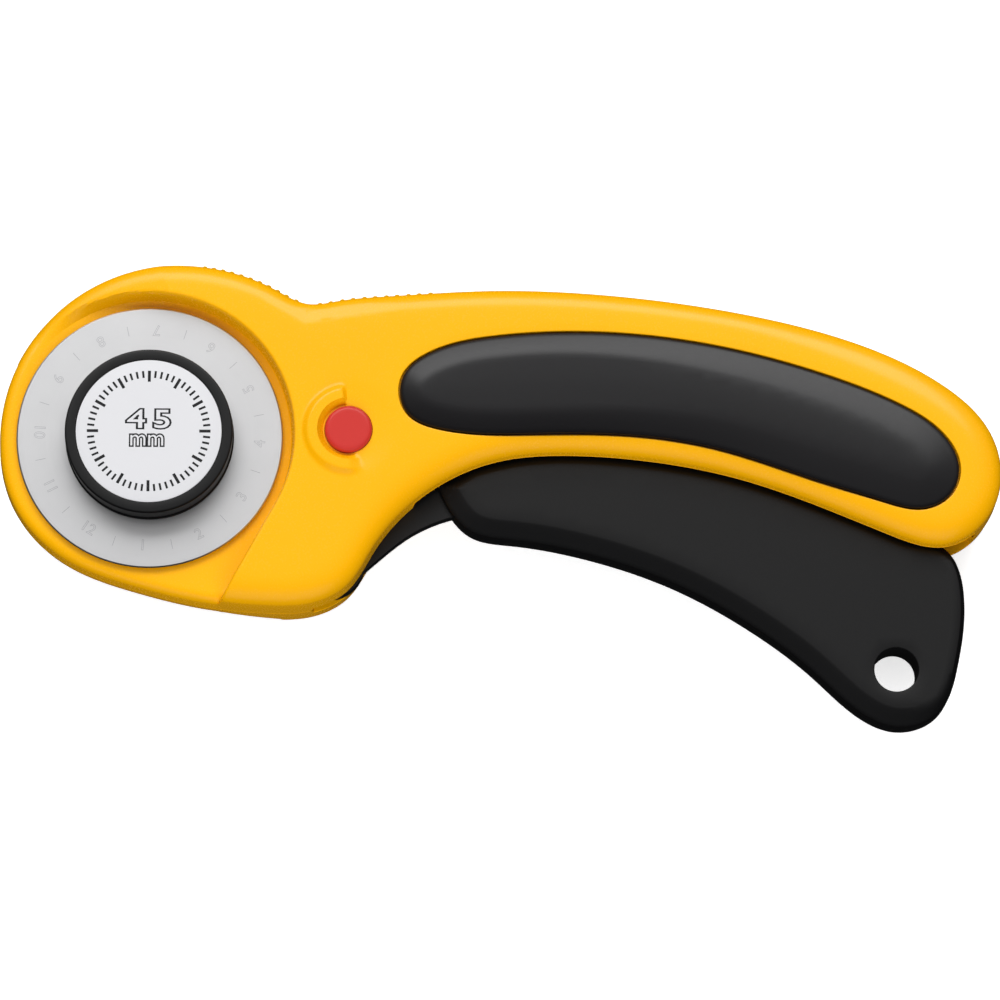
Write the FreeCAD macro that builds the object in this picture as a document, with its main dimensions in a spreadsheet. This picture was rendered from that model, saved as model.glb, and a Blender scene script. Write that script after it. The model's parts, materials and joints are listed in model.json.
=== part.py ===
"""Rotary cutter with a 45 mm round blade, a squeeze trigger and a push-through lock.

The cutter lies on its back. X runs along the handle from the blade's axis, Y points from the trigger
to the thumb rest, and Z points up through the front face. The origin is on the blade's axis, on the
plane the nut and the rear grip rest on. Levels named below are heights above the housing's parting
plane, which lies at mid_plane_height. Every length is in millimetres.
"""

import FreeCAD, Part
import math
import os
import Sketcher
from FreeCAD import Rotation, Vector

doc = FreeCAD.newDocument("rotary_cutter")

# ---------------------------------------------------------------- driving dimensions

DIMENSIONS = {
    "mid_plane_height": 10.5,
    # blade and its clamp
    "blade_radius": 22.5,
    "blade_thickness": 0.3,
    "blade_bore_radius": 4.0,
    "blade_back_level": 5.0,
    "seat_gap": 0.03,
    "hub_radius": 6.0,
    "hub_slot_gap": 0.4,
    "bolt_shank_radius": 3.95,
    "bolt_flat_half_width": 3.0,
    "bolt_head_radius": 9.0,
    "bolt_head_height": 1.6,
    "bolt_length": 14.4,
    "clamp_level": "=blade_back_level + blade_thickness + seat_gap",
    "thread_radius": 3.0,
    "cap_radius": 14.25,
    "cap_height": 5.0,
    "label_radius": 12.25,
    "label_thickness": 0.15,
    "washer_outer_radius": 7.4,
    "washer_inner_radius": 3.4,
    "washer_thickness": 0.5,
    "washer_bow_radius": 40.0,
    "nut_radius": 10.0,
    "scallop_offset": 0.9,
    "scallop_radius": 1.7,
    "nut_top_level": -6.2,
    "insert_radius": 4.6,
    "insert_height": 3.3,
    # housing
    "plate_inner_level": 1.8,
    "plate_outer_level": 4.3,
    "side_face_level": 9.0,
    "cavity_level": 6.5,
    "mouth_half_width": 4.3,
    "wall_thickness": 2.4,
    "recess_radius": 24.0,
    "edge_round": 2.4,
    "plate_edge_round": 1.6,
    "screw_boss_radius": 2.8,
    "screw_radius": 1.3,
    "screw_head_radius": 2.4,
    "screw_head_height": 1.9,
    "screw_head_level": -5.6,
    "screw_length": 10.4,
    # grips
    "grip_seat_level": 7.8,
    "grip_crown_level": 10.5,
    "grip_edge_round": 1.7,
    # trigger and its pivot
    "arm_half_thickness": 1.5,
    "trigger_half_thickness": 4.0,
    "trigger_edge_round": 1.5,
    "trigger_travel_degrees": 11.0,
    "pivot_across": 30.4,
    "pivot_up": -20.7,
    "pin_radius": 2.0,
    "pin_half_length": 6.4,
    "bush_bore_radius": 2.05,
    "bush_radius": 3.2,
    "bush_half_length": 1.7,
    "pivot_boss_radius": 6.0,
    "hang_across": 126.0,
    "hang_up": -39.2,
    "hang_radius": 3.7,
    "spring_coil_radius": 3.3,
    "spring_wire_radius": 0.4,
    "spring_level": -2.4,
    "spring_pocket_level": 3.2,
    # lock
    "lock_across": 33.6,
    "lock_up": 0.8,
    "lock_radius": 4.0,
    "lock_key_radius": 3.0,
    "lock_neck_radius": 1.8,
    "lock_neck_end": -6.0,
    "lock_travel": 2.5,
    "lock_face_level": 9.4,
    "lock_shoulder_level": 4.6,
    "running_gap": 0.08,
    "clip_level": -2.55,
    "clip_wire_radius": 0.35,
    "rib_inner_radius": 5.3,
    "rib_outer_radius": 8.0,
    "rib_height": 0.8,
    "dish_depth": 0.8,
}

sizes = doc.addObject("Spreadsheet::Sheet", "Sizes")
for row, (alias, value) in enumerate(DIMENSIONS.items(), start=1):
    sizes.set(f"A{row}", alias.replace("_", " "))
    sizes.set(f"B{row}", str(value))
    sizes.setAlias(f"B{row}", alias)
doc.recompute()


def cell(term):
    """Expression for a term: a plain number, or an alias with an optional offset."""
    if isinstance(term, tuple):
        return f"Sizes.{term[0]} + {term[1]}"
    if isinstance(term, str):
        return f"Sizes.{term}"
    return str(term)


def number(term):
    """Value in millimetres of a term that cell() takes."""
    if isinstance(term, tuple):
        return sizes.get(term[0]) + term[1]
    if isinstance(term, str):
        return float(sizes.get(term))
    return float(term)


# ---------------------------------------------------------------- outlines

# Housing seen from the front: head, lower lip, neck, underside, heel, back, thumb notch, crown.
HOUSING_OUTLINE = [
    (-25.6, 0.0), (-23.0, -11.6), (-13.9, -20.9), (-3.0, -25.2), (9.0, -28.1), (20.0, -29.2),
    (27.3, -28.8), (33.6, -25.6), (37.8, -19.3), (42.5, -13.2), (49.0, -8.0), (58.5, -3.9),
    (71.0, -2.7), (85.0, -3.7), (100.0, -6.7), (114.0, -11.6), (125.0, -16.1), (134.5, -18.2),
    (141.4, -14.0), (144.2, -6.5), (142.2, 1.8), (134.2, 9.8), (119.9, 16.8), (100.9, 21.8),
    (78.9, 24.9), (57.0, 25.7), (40.1, 24.7), (31.5, 23.8), (26.6, 23.3), (21.2, 25.7),
    (12.9, 28.9), (4.5, 29.9), (-5.4, 28.4), (-15.6, 22.7), (-22.6, 13.5),
]

# Soft grip pad, from its round front end along the top and back along the bottom.
GRIP_OUTLINE = [
    (42.0, 7.5), (43.4, 3.4), (49.0, 0.7), (64.0, -0.1), (80.0, -0.2), (96.0, -2.6),
    (113.1, -8.1), (124.0, -11.5), (131.0, -12.6), (135.6, -9.8), (136.9, -5.0), (133.6, 1.1),
    (126.9, 5.6), (113.4, 11.0), (96.0, 15.6), (76.0, 17.9), (58.0, 17.1), (46.7, 14.0), (42.8, 10.6),
]

# Trigger grip: blunt front end, belly and round tail, then the top edge hidden in the housing.
TRIGGER_BELLY = [
    (48.4, -7.3), (50.8, -12.0), (54.2, -15.5), (61.0, -17.0), (74.1, -19.4), (88.2, -24.2),
    (101.2, -31.3), (112.4, -39.8), (118.9, -45.7), (126.3, -48.9), (132.8, -46.7), (136.5, -38.4),
    (137.8, -27.0), (135.5, -19.0), (128.7, -15.4),
]
TRIGGER_TOP = [(128.7, -15.4), (113.0, -9.0), (97.0, -3.9), (80.0, -1.3), (64.0, -1.2), (54.0, -3.4)]

# Lever arm inside the housing, and the tongue that stiffens the trigger grip.
ARM_LOWER_EDGE = [(35.4, -22.9), (39.3, -19.5), (44.1, -15.8), (49.3, -13.3), (56.0, -12.0)]
ARM_WEB = [
    (56.0, -12.0), (78.0, -15.3), (96.0, -21.3), (112.0, -31.6), (118.0, -37.0),
    (122.0, -33.0), (113.0, -22.5), (96.0, -11.8), (78.0, -6.6), (60.0, -5.6),
    (51.5, -4.4), (45.0, 3.0), (40.5, 7.6), (32.0, 8.6), (0.0, 8.4), (-6.0, -6.0), (22.0, -23.8),
]

# Straight edge where the raised side of the head meets the blade guard, and how far it runs on.
RECESS_EDGE_TOP_DEGREES = -29.0
RECESS_EDGE_FOOT = (9.05, -34.0)
RECESS_FADE_DEGREES = 143.0
RECESS_OUTER_UP = 24.0
FADE_START = (4.0, 9.1)
FADE_END = (-19.0, 4.3)

# How far, how high and how deep cutting shapes run on past what they cut.
CUT_REACH = 40.0
CUT_LEVEL = 12.0
CUT_DEPTH = 14.0

# Screw axes: crown, two under the grip, heel.
SCREW_PLACES = [(25.5, 17.0), (60.5, 13.6), (88.0, 14.6), (137.6, 3.2)]

# Ends of the housing's open underside, where the trigger and its arm come out.
NECK_MOUTH = [(28.0, -34.0), (46.0, -16.0), (48.0, 0.0), (43.0, 0.0), (27.6, -26.0)]
TRIGGER_MOUTH = [
    (44.6, -16.0), (60.0, -12.0), (100.0, -16.0), (126.0, -24.0), (139.6, -24.0), (139.6, -12.0),
    (131.0, -8.0), (110.0, 4.0), (44.6, 4.0),
]
HANDLE_CAVITY_START = 44.6
HANDLE_SPAN = 120.0

THUMB_RIDGE_RADIUS = 0.55
THUMB_RIDGE_SINK = 0.25
THUMB_RIDGE_DEPTH = 5.5
THUMB_RIDGE_RUNS = [
    {"start": 9.0, "end": 24.6, "count": 11},
    {"start": 28.6, "end": 47.4, "count": 11},
]


# ---------------------------------------------------------------- sketch helpers

def spline(points, closed=False):
    """Smooth curve through the points."""
    curve = Part.BSplineCurve()
    vectors = [Vector(x, y, 0) for x, y in points]
    curve.interpolate(Points=vectors, PeriodicFlag=closed)
    return curve


def inset_points(points, distance, steps):
    """Points inside a closed outline that runs anticlockwise, at a distance from it."""
    curve = spline(points, closed=True)
    first = curve.FirstParameter
    span = curve.LastParameter - first
    inner = []
    for count in range(steps):
        place = first + span * count / steps
        point = curve.value(place)
        along = curve.tangent(place)[0]
        inner.append((point.x - along.y * distance, point.y + along.x * distance))
    return inner


def loose_sketch(name, level=0.0):
    """Sketch of the document itself, parallel to the parting plane at a level."""
    sketch = doc.addObject("Sketcher::SketchObject", name)
    sketch.Placement = FreeCAD.Placement(Vector(0, 0, number(level)), Rotation())
    if not isinstance(level, float):
        sketch.setExpression("Placement.Base.z", cell(level))
    return sketch


def body_sketch(body, name, plane="XY_Plane", level=0.0):
    """Sketch on one of a body's own origin planes, lifted to a level along its normal."""
    sketch = body.newObject("Sketcher::SketchObject", name)
    support = next(item for item in body.Origin.OriginFeatures if item.Role == plane)
    sketch.AttachmentSupport = [(support, "")]
    sketch.MapMode = "FlatFace"
    if level != 0.0:
        sketch.setExpression("AttachmentOffset.Base.z", cell(level))
    return sketch


def draw_circle(sketch, across, up, radius):
    """Full circle whose centre and radius follow their terms."""
    centre = Vector(number(across), number(up), 0)
    curve = Part.Circle(centre, Vector(0, 0, 1), number(radius))
    index = sketch.addGeometry(curve)
    for kind, term in (("DistanceX", across), ("DistanceY", up)):
        place = sketch.addConstraint(Sketcher.Constraint(kind, index, 3, number(term)))
        sketch.setExpression(f"Constraints[{place}]", cell(term))
    place = sketch.addConstraint(Sketcher.Constraint("Radius", index, number(radius)))
    sketch.setExpression(f"Constraints[{place}]", cell(radius))
    return index


def draw_polygon(sketch, corners):
    """Closed outline of straight lines whose corners follow their terms."""
    points = [Vector(number(x), number(y), 0) for x, y in corners]
    lines = []
    for start, end in zip(points, points[1:] + points[:1]):
        lines.append(sketch.addGeometry(Part.LineSegment(start, end)))
    for line, following in zip(lines, lines[1:] + lines[:1]):
        sketch.addConstraint(Sketcher.Constraint("Coincident", line, 2, following, 1))
    for line, corner in zip(lines, corners):
        for kind, term in (("DistanceX", corner[0]), ("DistanceY", corner[1])):
            place = sketch.addConstraint(Sketcher.Constraint(kind, line, 1, number(term)))
            sketch.setExpression(f"Constraints[{place}]", cell(term))


def draw_chain(sketch, pieces):
    """Closed outline of lines and splines, each given as its list of points."""
    count = len(pieces)
    indices = []
    for points in pieces:
        if len(points) == 2:
            curve = Part.LineSegment(Vector(*points[0], 0), Vector(*points[1], 0))
        else:
            curve = spline(points)
        indices.append(sketch.addGeometry(curve))
    for place in range(count):
        following = indices[(place + 1) % count]
        sketch.addConstraint(Sketcher.Constraint("Coincident", indices[place], 2, following, 1))


def draw_closed_spline(sketch, points):
    """Smooth closed outline, laid down in four lengths so that no edge meets itself."""
    whole = spline(points, closed=True)
    first = whole.FirstParameter
    step = (whole.LastParameter - first) / 4
    for count in range(4):
        length = whole.copy()
        length.segment(first + step * count, first + step * (count + 1))
        sketch.addGeometry(length)


def draw_swept_slot(sketch, centre, reach, half_width, start_degrees, turn_degrees):
    """Slot left by a circle that turns about a centre."""
    axis = Vector(0, 0, 1)
    start = math.radians(start_degrees)
    end = math.radians(start_degrees + turn_degrees)
    middle = Vector(centre[0], centre[1], 0)
    first = middle + Vector(math.cos(start), math.sin(start), 0) * reach
    last = middle + Vector(math.cos(end), math.sin(end), 0) * reach
    outer = Part.ArcOfCircle(Part.Circle(middle, axis, reach + half_width), start, end)
    inner = Part.ArcOfCircle(Part.Circle(middle, axis, reach - half_width), start, end)
    first_cap = Part.ArcOfCircle(Part.Circle(first, axis, half_width), start - math.pi, start)
    last_cap = Part.ArcOfCircle(Part.Circle(last, axis, half_width), end, end + math.pi)
    for curve in (outer, inner, first_cap, last_cap):
        sketch.addGeometry(curve)


# ---------------------------------------------------------------- solid helpers

def new_body(label, across=0.0, up=0.0, level=0.0):
    """Body whose own origin is placed over the parting plane."""
    body = doc.addObject("PartDesign::Body", label)
    body.Label = label
    body.setExpression("Placement.Base.x", cell(across))
    body.setExpression("Placement.Base.y", cell(up))
    body.setExpression("Placement.Base.z", f"Sizes.mid_plane_height + {cell(level)}")
    return body


def pad(body, sketch, length, midplane=False, reverse=False):
    """Adds a sketch's area to the body over a length."""
    feature = body.newObject("PartDesign::Pad", sketch.Name + "_pad")
    feature.Profile = sketch
    if midplane:
        feature.Midplane = True
    feature.Reversed = reverse
    feature.setExpression("Length", length)
    doc.recompute()
    return feature


def pocket_through(body, sketch):
    """Cuts a sketch's area right through the body, both ways."""
    before = body.Shape.Volume
    feature = body.newObject("PartDesign::Pocket", sketch.Name + "_pocket")
    feature.Profile = sketch
    feature.Type = "ThroughAll"
    feature.Midplane = True
    doc.recompute()
    if body.Shape.Volume >= before:
        raise RuntimeError(f"{sketch.Name} cuts nothing from {body.Label}")
    return feature


def revolve(body, sketch):
    """Turns a half profile drawn in the XZ plane about the body's own Z axis."""
    feature = body.newObject("PartDesign::Revolution", sketch.Name + "_turned")
    feature.Profile = sketch
    feature.ReferenceAxis = (sketch, ["V_Axis"])
    feature.Angle = 360.0
    doc.recompute()
    return feature


def turned_body(label, corners, across=0.0, up=0.0, level=0.0):
    """Body made by turning one profile of (radius, height) corners."""
    body = new_body(label, across, up, level)
    profile = body_sketch(body, label + "_profile", "XZ_Plane")
    draw_polygon(profile, corners)
    doc.recompute()
    revolve(body, profile)
    return body


def extrude(sketch, length, name):
    """Solid over a sketch, straight up from its plane."""
    solid = doc.addObject("Part::Extrusion", name)
    solid.Base = sketch
    solid.DirMode = "Custom"
    solid.Dir = Vector(0, 0, 1)
    solid.Solid = True
    solid.setExpression("LengthFwd", str(length))
    return solid


def cylinder(name, across, up, level, radius, height):
    """Upright cylinder whose foot is at a level."""
    solid = doc.addObject("Part::Cylinder", name)
    solid.setExpression("Placement.Base.x", cell(across))
    solid.setExpression("Placement.Base.y", cell(up))
    solid.setExpression("Placement.Base.z", cell(level))
    solid.setExpression("Radius", str(radius))
    solid.setExpression("Height", str(height))
    return solid


def cut(base, tools, name):
    """Base with the tools taken away one after another."""
    for count, tool in enumerate(tools, start=1):
        result = doc.addObject("Part::Cut", f"{name}_cut_{count}")
        result.Base = base
        result.Tool = tool
        base = result
    return base


def fuse(shapes, name):
    """Union of the shapes."""
    result = doc.addObject("Part::MultiFuse", name)
    result.Shapes = shapes
    return result


def round_levels(solid, levels, radius_alias, name):
    """Rounds every edge of a solid that lies flat at one of the levels."""
    doc.recompute()
    radius = number(radius_alias)
    edges = []
    for place, edge in enumerate(solid.Shape.Edges, start=1):
        box = edge.BoundBox
        flat = box.ZMax - box.ZMin < 1e-4
        if flat and any(abs(box.ZMin - level) < 1e-4 for level in levels):
            edges.append((place, radius, radius))
    rounded = doc.addObject("Part::Fillet", name)
    rounded.Base = solid
    rounded.Edges = edges
    doc.recompute()
    return rounded


def finish_part(solid, label):
    """Names a finished solid and lifts it from the parting plane to its place."""
    solid.Label = label
    solid.setExpression("Placement.Base.z", "Sizes.mid_plane_height")
    return solid


# ---------------------------------------------------------------- housing

def pivot_polar(across, up):
    """Distance and direction in degrees of a point from the trigger's pivot."""
    east = number(across) - number("pivot_across")
    north = number(up) - number("pivot_up")
    return math.hypot(east, north), math.degrees(math.atan2(north, east))


def recess_solid():
    """Round recess for the blade, open toward the lower left, above the guard plate."""
    sketch = loose_sketch("blade_recess", "plate_outer_level")
    radius = number("recess_radius")
    start = math.radians(RECESS_EDGE_TOP_DEGREES)
    end = math.radians(RECESS_FADE_DEGREES)
    arc = Part.ArcOfCircle(Part.Circle(Vector(), Vector(0, 0, 1), radius), start, end)
    first = (radius * math.cos(start), radius * math.sin(start))
    last = (radius * math.cos(end), radius * math.sin(end))
    far_top = (-CUT_REACH, RECESS_OUTER_UP)
    far_foot = (-CUT_REACH, RECESS_EDGE_FOOT[1])
    outside = [last, far_top, far_foot, RECESS_EDGE_FOOT, first]
    sketch.addGeometry(arc)
    for begin, finish in zip(outside, outside[1:]):
        sketch.addGeometry(Part.LineSegment(Vector(*begin, 0), Vector(*finish, 0)))
    return extrude(sketch, CUT_DEPTH, "blade_recess_solid")


def fade_solid():
    """Wedge that lowers the crown's rim toward the left until it meets the guard plate."""
    sketch = doc.addObject("Sketcher::SketchObject", "crown_fade")
    sketch.Placement = FreeCAD.Placement(Vector(0, CUT_REACH, 0), Rotation(Vector(1, 0, 0), 90))
    corners = [FADE_END, FADE_START, (FADE_START[0], CUT_LEVEL), (-CUT_REACH, CUT_LEVEL),
               (-CUT_REACH, FADE_END[1])]
    draw_chain(sketch, [list(pair) for pair in zip(corners, corners[1:] + corners[:1])])
    solid = doc.addObject("Part::Extrusion", "crown_fade_solid")
    solid.Base = sketch
    solid.DirMode = "Custom"
    solid.Dir = Vector(0, -1, 0)
    solid.LengthFwd = CUT_REACH
    solid.Solid = True
    return solid


def half_housing():
    """Blank that both halves share: rounded outside, hollow inside, with four screw bosses."""
    outline = loose_sketch("housing_outline")
    draw_closed_spline(outline, HOUSING_OUTLINE)
    guard = extrude(outline, "Sizes.plate_outer_level", "guard_blank")
    guard = round_levels(guard, [number("plate_outer_level")], "plate_edge_round", "guard_plate")
    raised = extrude(outline, "Sizes.side_face_level", "raised_blank")
    raised = round_levels(raised, [number("side_face_level")], "edge_round", "raised_rounded")
    raised = cut(raised, [recess_solid(), fade_solid()], "raised_side")
    blank = fuse([guard, raised], "half_blank")

    inset = loose_sketch("housing_inset")
    steps = 2 * len(HOUSING_OUTLINE)
    draw_closed_spline(inset, inset_points(HOUSING_OUTLINE, number("wall_thickness"), steps))
    channel = extrude(inset, "Sizes.plate_inner_level", "arm_channel")
    deep = extrude(inset, "Sizes.cavity_level", "deep_channel")
    region = doc.addObject("Part::Box", "handle_region")
    region.Placement.Base = Vector(HANDLE_CAVITY_START, -HANDLE_SPAN / 2, -1)
    region.Length = HANDLE_SPAN
    region.Width = HANDLE_SPAN
    region.Height = CUT_DEPTH
    handle_cavity = doc.addObject("Part::Common", "handle_cavity")
    handle_cavity.Base = deep
    handle_cavity.Tool = region
    neck_sketch = loose_sketch("neck_mouth")
    draw_polygon(neck_sketch, NECK_MOUTH)
    neck = extrude(neck_sketch, "Sizes.plate_inner_level", "neck_mouth_solid")
    mouth_sketch = loose_sketch("trigger_mouth")
    draw_polygon(mouth_sketch, TRIGGER_MOUTH)
    mouth = extrude(mouth_sketch, "Sizes.mouth_half_width", "trigger_mouth_solid")
    hollow = cut(blank, [channel, handle_cavity, neck, mouth], "hollow")

    bosses = []
    for place, (across, up) in enumerate(SCREW_PLACES, start=1):
        bosses.append(cylinder(f"screw_boss_{place}", across, up, 0.0,
                               "Sizes.screw_boss_radius", "Sizes.cavity_level + Sizes.running_gap"))
    return fuse([hollow] + bosses, "half_with_bosses")


def hub_slot(name, level, length):
    """Curved window that the arm's hub travels in."""
    reach, direction = pivot_polar(0.0, 0.0)
    sketch = loose_sketch(name, level)
    centre = (number("pivot_across"), number("pivot_up"))
    half_width = number("hub_radius") + number("hub_slot_gap")
    draw_swept_slot(sketch, centre, reach, half_width, direction, number("trigger_travel_degrees"))
    return extrude(sketch, length, name + "_solid")


def grip_seat(name, level):
    """Shallow seat for a grip pad."""
    sketch = loose_sketch(name, level)
    draw_closed_spline(sketch, GRIP_OUTLINE)
    return extrude(sketch, CUT_DEPTH, name + "_solid")


LOCK_RIB_TURN = (97.0, 282.0)
LOCK_RIB_ROOT = 0.5
DISH_INSET = 0.6
DISH_HEIGHT = 3.0


def lock_rib():
    """Raised C around the front of the lock button."""
    sketch = loose_sketch("lock_rib", ("side_face_level", -LOCK_RIB_ROOT))
    centre = Vector(number("lock_across"), number("lock_up"), 0)
    inner = number("rib_inner_radius")
    outer = number("rib_outer_radius")
    start, end = (math.radians(angle) for angle in LOCK_RIB_TURN)
    axis = Vector(0, 0, 1)
    for radius in (inner, outer):
        sketch.addGeometry(Part.ArcOfCircle(Part.Circle(centre, axis, radius), start, end))
    for angle in (start, end):
        ray = Vector(math.cos(angle), math.sin(angle), 0)
        sketch.addGeometry(Part.LineSegment(centre + ray * inner, centre + ray * outer))
    return extrude(sketch, f"Sizes.rib_height + {LOCK_RIB_ROOT}", "lock_rib_solid")


def thumb_ridges():
    """Fine cross bars along the thumb rest, on the curve of the housing's back."""
    back = spline(HOUSING_OUTLINE, closed=True)
    sketch = loose_sketch("thumb_ridges")
    for run in THUMB_RIDGE_RUNS:
        step = (run["end"] - run["start"]) / (run["count"] - 1)
        for count in range(run["count"]):
            across = run["start"] + step * count
            probe = Part.LineSegment(Vector(across, 15, 0), Vector(across, 40, 0))
            top = max(point.Y for point in back.intersect(probe))
            centre = Vector(across, top - THUMB_RIDGE_SINK, 0)
            sketch.addGeometry(Part.Circle(centre, Vector(0, 0, 1), THUMB_RIDGE_RADIUS))
    return extrude(sketch, THUMB_RIDGE_DEPTH, "thumb_ridges_solid")


def lock_bore(name, level, height):
    """Hole that guides the lock."""
    return cylinder(name, "lock_across", "lock_up", level,
                    "Sizes.lock_radius + Sizes.running_gap", height)


def lock_dish(name, level):
    """Shallow dish round the lock button."""
    solid = doc.addObject("Part::Cone", name)
    solid.setExpression("Placement.Base.x", "Sizes.lock_across")
    solid.setExpression("Placement.Base.y", "Sizes.lock_up")
    solid.setExpression("Placement.Base.z", cell(level))
    solid.setExpression("Radius1", f"Sizes.rib_inner_radius - {DISH_INSET}")
    solid.setExpression("Radius2", "Sizes.rib_inner_radius")
    solid.Height = DISH_HEIGHT
    return solid


def make_front_shell(half):
    """Front half of the housing, with pilot holes for the screws."""
    body = fuse([half, thumb_ridges()], "front_ridged")
    tools = [
        hub_slot("front_hub_slot", 0.0, CUT_DEPTH),
        grip_seat("front_grip_seat", "grip_seat_level"),
        lock_bore("front_lock_bore", 0.0, CUT_DEPTH),
        cylinder("front_pin_hole", "pivot_across", "pivot_up", 0.0,
                 "Sizes.pin_radius", "Sizes.pin_half_length"),
    ]
    for place, (across, up) in enumerate(SCREW_PLACES, start=1):
        tools.append(cylinder(f"pilot_hole_{place}", across, up, -1.0, "Sizes.screw_radius",
                              "Sizes.screw_length + Sizes.screw_head_level + 1.2"))
    body = cut(body, tools, "front_open")
    body = fuse([body, lock_rib()], "front_ribbed")
    dish = lock_dish("front_lock_dish", "side_face_level")
    dish.setExpression("Placement.Base.z", "Sizes.side_face_level - Sizes.dish_depth")
    return finish_part(cut(body, [dish], "front_dished"), "front_shell")


def make_rear_shell(half):
    """Rear half: the mirrored blank with clearance holes, spring pocket and clip pocket."""
    mirrored = doc.addObject("Part::Mirroring", "rear_blank")
    mirrored.Source = half
    mirrored.Normal = Vector(0, 0, 1)
    mirrored.Base = Vector(0, 0, 0)
    seat = doc.addObject("Part::Mirroring", "rear_grip_seat")
    seat.Source = grip_seat("rear_grip_seat_front", "grip_seat_level")
    seat.Normal = Vector(0, 0, 1)
    tools = [
        hub_slot("rear_hub_slot", -CUT_DEPTH, CUT_DEPTH),
        seat,
        lock_bore("rear_lock_bore", -CUT_DEPTH, CUT_DEPTH),
    ]
    pin_hole = cylinder("rear_pin_hole", "pivot_across", "pivot_up", 0.0,
                        "Sizes.pin_radius", "Sizes.pin_half_length")
    pin_hole.setExpression("Placement.Base.z", "-Sizes.pin_half_length")
    tools.append(pin_hole)
    for place, (across, up) in enumerate(SCREW_PLACES, start=1):
        tools.append(cylinder(f"clearance_hole_{place}", across, up, -CUT_DEPTH,
                              "Sizes.screw_radius", CUT_DEPTH))
        tools.append(cylinder(f"head_hole_{place}", across, up, -CUT_DEPTH,
                              "Sizes.screw_head_radius + Sizes.running_gap",
                              f"{CUT_DEPTH} + Sizes.screw_head_level"))
    tools.append(spring_pocket())
    tools.append(clip_pocket())
    return finish_part(cut(mirrored, tools, "rear_open"), "rear_shell")


# ---------------------------------------------------------------- spring and clip

SPRING_LEG_LENGTH = 8.5
SPRING_LEG_ROOT = 1.4
SPRING_LEG_ROOM = 0.6
SPRING_LEG_SPANS = {"fixed_leg_pocket": (-3.9, -2.7), "moving_leg_pocket": (0.9, 3.9)}
SPRING_HOOK_SHORT = 0.6
COIL_POCKET_RADIUS = 5.0
COIL_POST_RADIUS = 2.6


def hairpin(body, name, reach, leg_length, wire_alias):
    """Round wire bent once round the body's origin, with both legs pointing to -X or +X."""
    side = math.copysign(1.0, leg_length)
    path = body_sketch(body, name + "_path")
    for up in (reach, -reach):
        ends = [Vector(0, up, 0), Vector(leg_length, up, 0)]
        path.addGeometry(Part.LineSegment(*(ends if up < 0 else ends[::-1])))
    start = math.pi / 2 if side > 0 else -math.pi / 2
    bend = Part.Circle(Vector(), Vector(0, 0, 1), reach)
    path.addGeometry(Part.ArcOfCircle(bend, start, start + math.pi))
    section = body_sketch(body, name + "_section", "YZ_Plane", leg_length)
    draw_circle(section, reach, 0.0, wire_alias)
    doc.recompute()
    pipe = body.newObject("PartDesign::AdditivePipe", name + "_wire")
    pipe.Profile = section
    pipe.Spine = path
    doc.recompute()


def make_return_spring():
    """Hairpin spring bent round the pivot pin: one leg on the rear half, one hooked in the arm."""
    spring = new_body("return_spring", "pivot_across", "pivot_up", "spring_level")
    reach = number("spring_coil_radius")
    hairpin(spring, "spring", reach, -SPRING_LEG_LENGTH, "spring_wire_radius")
    hook = body_sketch(spring, "spring_hook")
    draw_circle(hook, -SPRING_LEG_LENGTH, "spring_coil_radius", "spring_wire_radius")
    pad(spring, hook, f"-Sizes.spring_level - {SPRING_HOOK_SHORT}")
    return spring


def spring_pocket():
    """Room in the rear half for the spring's bend, its fixed leg and the sweep of its other leg."""
    across = number("pivot_across")
    up = number("pivot_up")
    coil_room = cylinder("coil_pocket", "pivot_across", "pivot_up", 0.0,
                         COIL_POCKET_RADIUS, "Sizes.spring_pocket_level")
    coil_room.setExpression("Placement.Base.z", "-Sizes.spring_pocket_level")
    core = cylinder("coil_post", "pivot_across", "pivot_up", -CUT_DEPTH,
                    COIL_POST_RADIUS, f"{CUT_DEPTH} - Sizes.plate_inner_level")
    rooms = [cut(coil_room, [core], "coil_ring")]
    for name, (low, high) in SPRING_LEG_SPANS.items():
        room = doc.addObject("Part::Box", name)
        room.setExpression("Placement.Base.z", "-Sizes.spring_pocket_level")
        room.Placement.Base.x = across - SPRING_LEG_LENGTH - SPRING_LEG_ROOM
        room.Placement.Base.y = up + low
        room.Length = SPRING_LEG_LENGTH - SPRING_LEG_ROOT - SPRING_LEG_ROOM
        room.Width = high - low
        room.setExpression("Height", "Sizes.spring_pocket_level")
        rooms.append(room)
    return fuse(rooms, "spring_pocket")


CLIP_HALF_LENGTH = 5.5
CLIP_BEND_SHIFT = 3.4
CLIP_END_ROOM = 0.6
CLIP_GRIP_GAP = 0.06
CLIP_POCKET_HALF_WIDTH = 3.4
CLIP_POCKET_DEPTH = 3.25


def clip_pocket():
    """Slot in the rear half for the lock's spring clip."""
    box = doc.addObject("Part::Box", "clip_pocket")
    half_length = CLIP_HALF_LENGTH + CLIP_END_ROOM
    box.Placement.Base = Vector(number("lock_across") - half_length,
                                number("lock_up") - CLIP_POCKET_HALF_WIDTH, -CLIP_POCKET_DEPTH)
    box.Length = 2 * half_length
    box.Width = 2 * CLIP_POCKET_HALF_WIDTH
    box.Height = CLIP_POCKET_DEPTH
    return box


def make_detent_clip():
    """Hairpin of round wire that straddles the lock's neck."""
    clip = new_body("lock_detent_clip", ("lock_across", -CLIP_BEND_SHIFT), "lock_up", "clip_level")
    reach = number("lock_neck_radius") + number("clip_wire_radius") + CLIP_GRIP_GAP
    hairpin(clip, "clip", reach, CLIP_HALF_LENGTH + CLIP_BEND_SHIFT, "clip_wire_radius")
    return clip


# ---------------------------------------------------------------- grips, pin and screws

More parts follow.
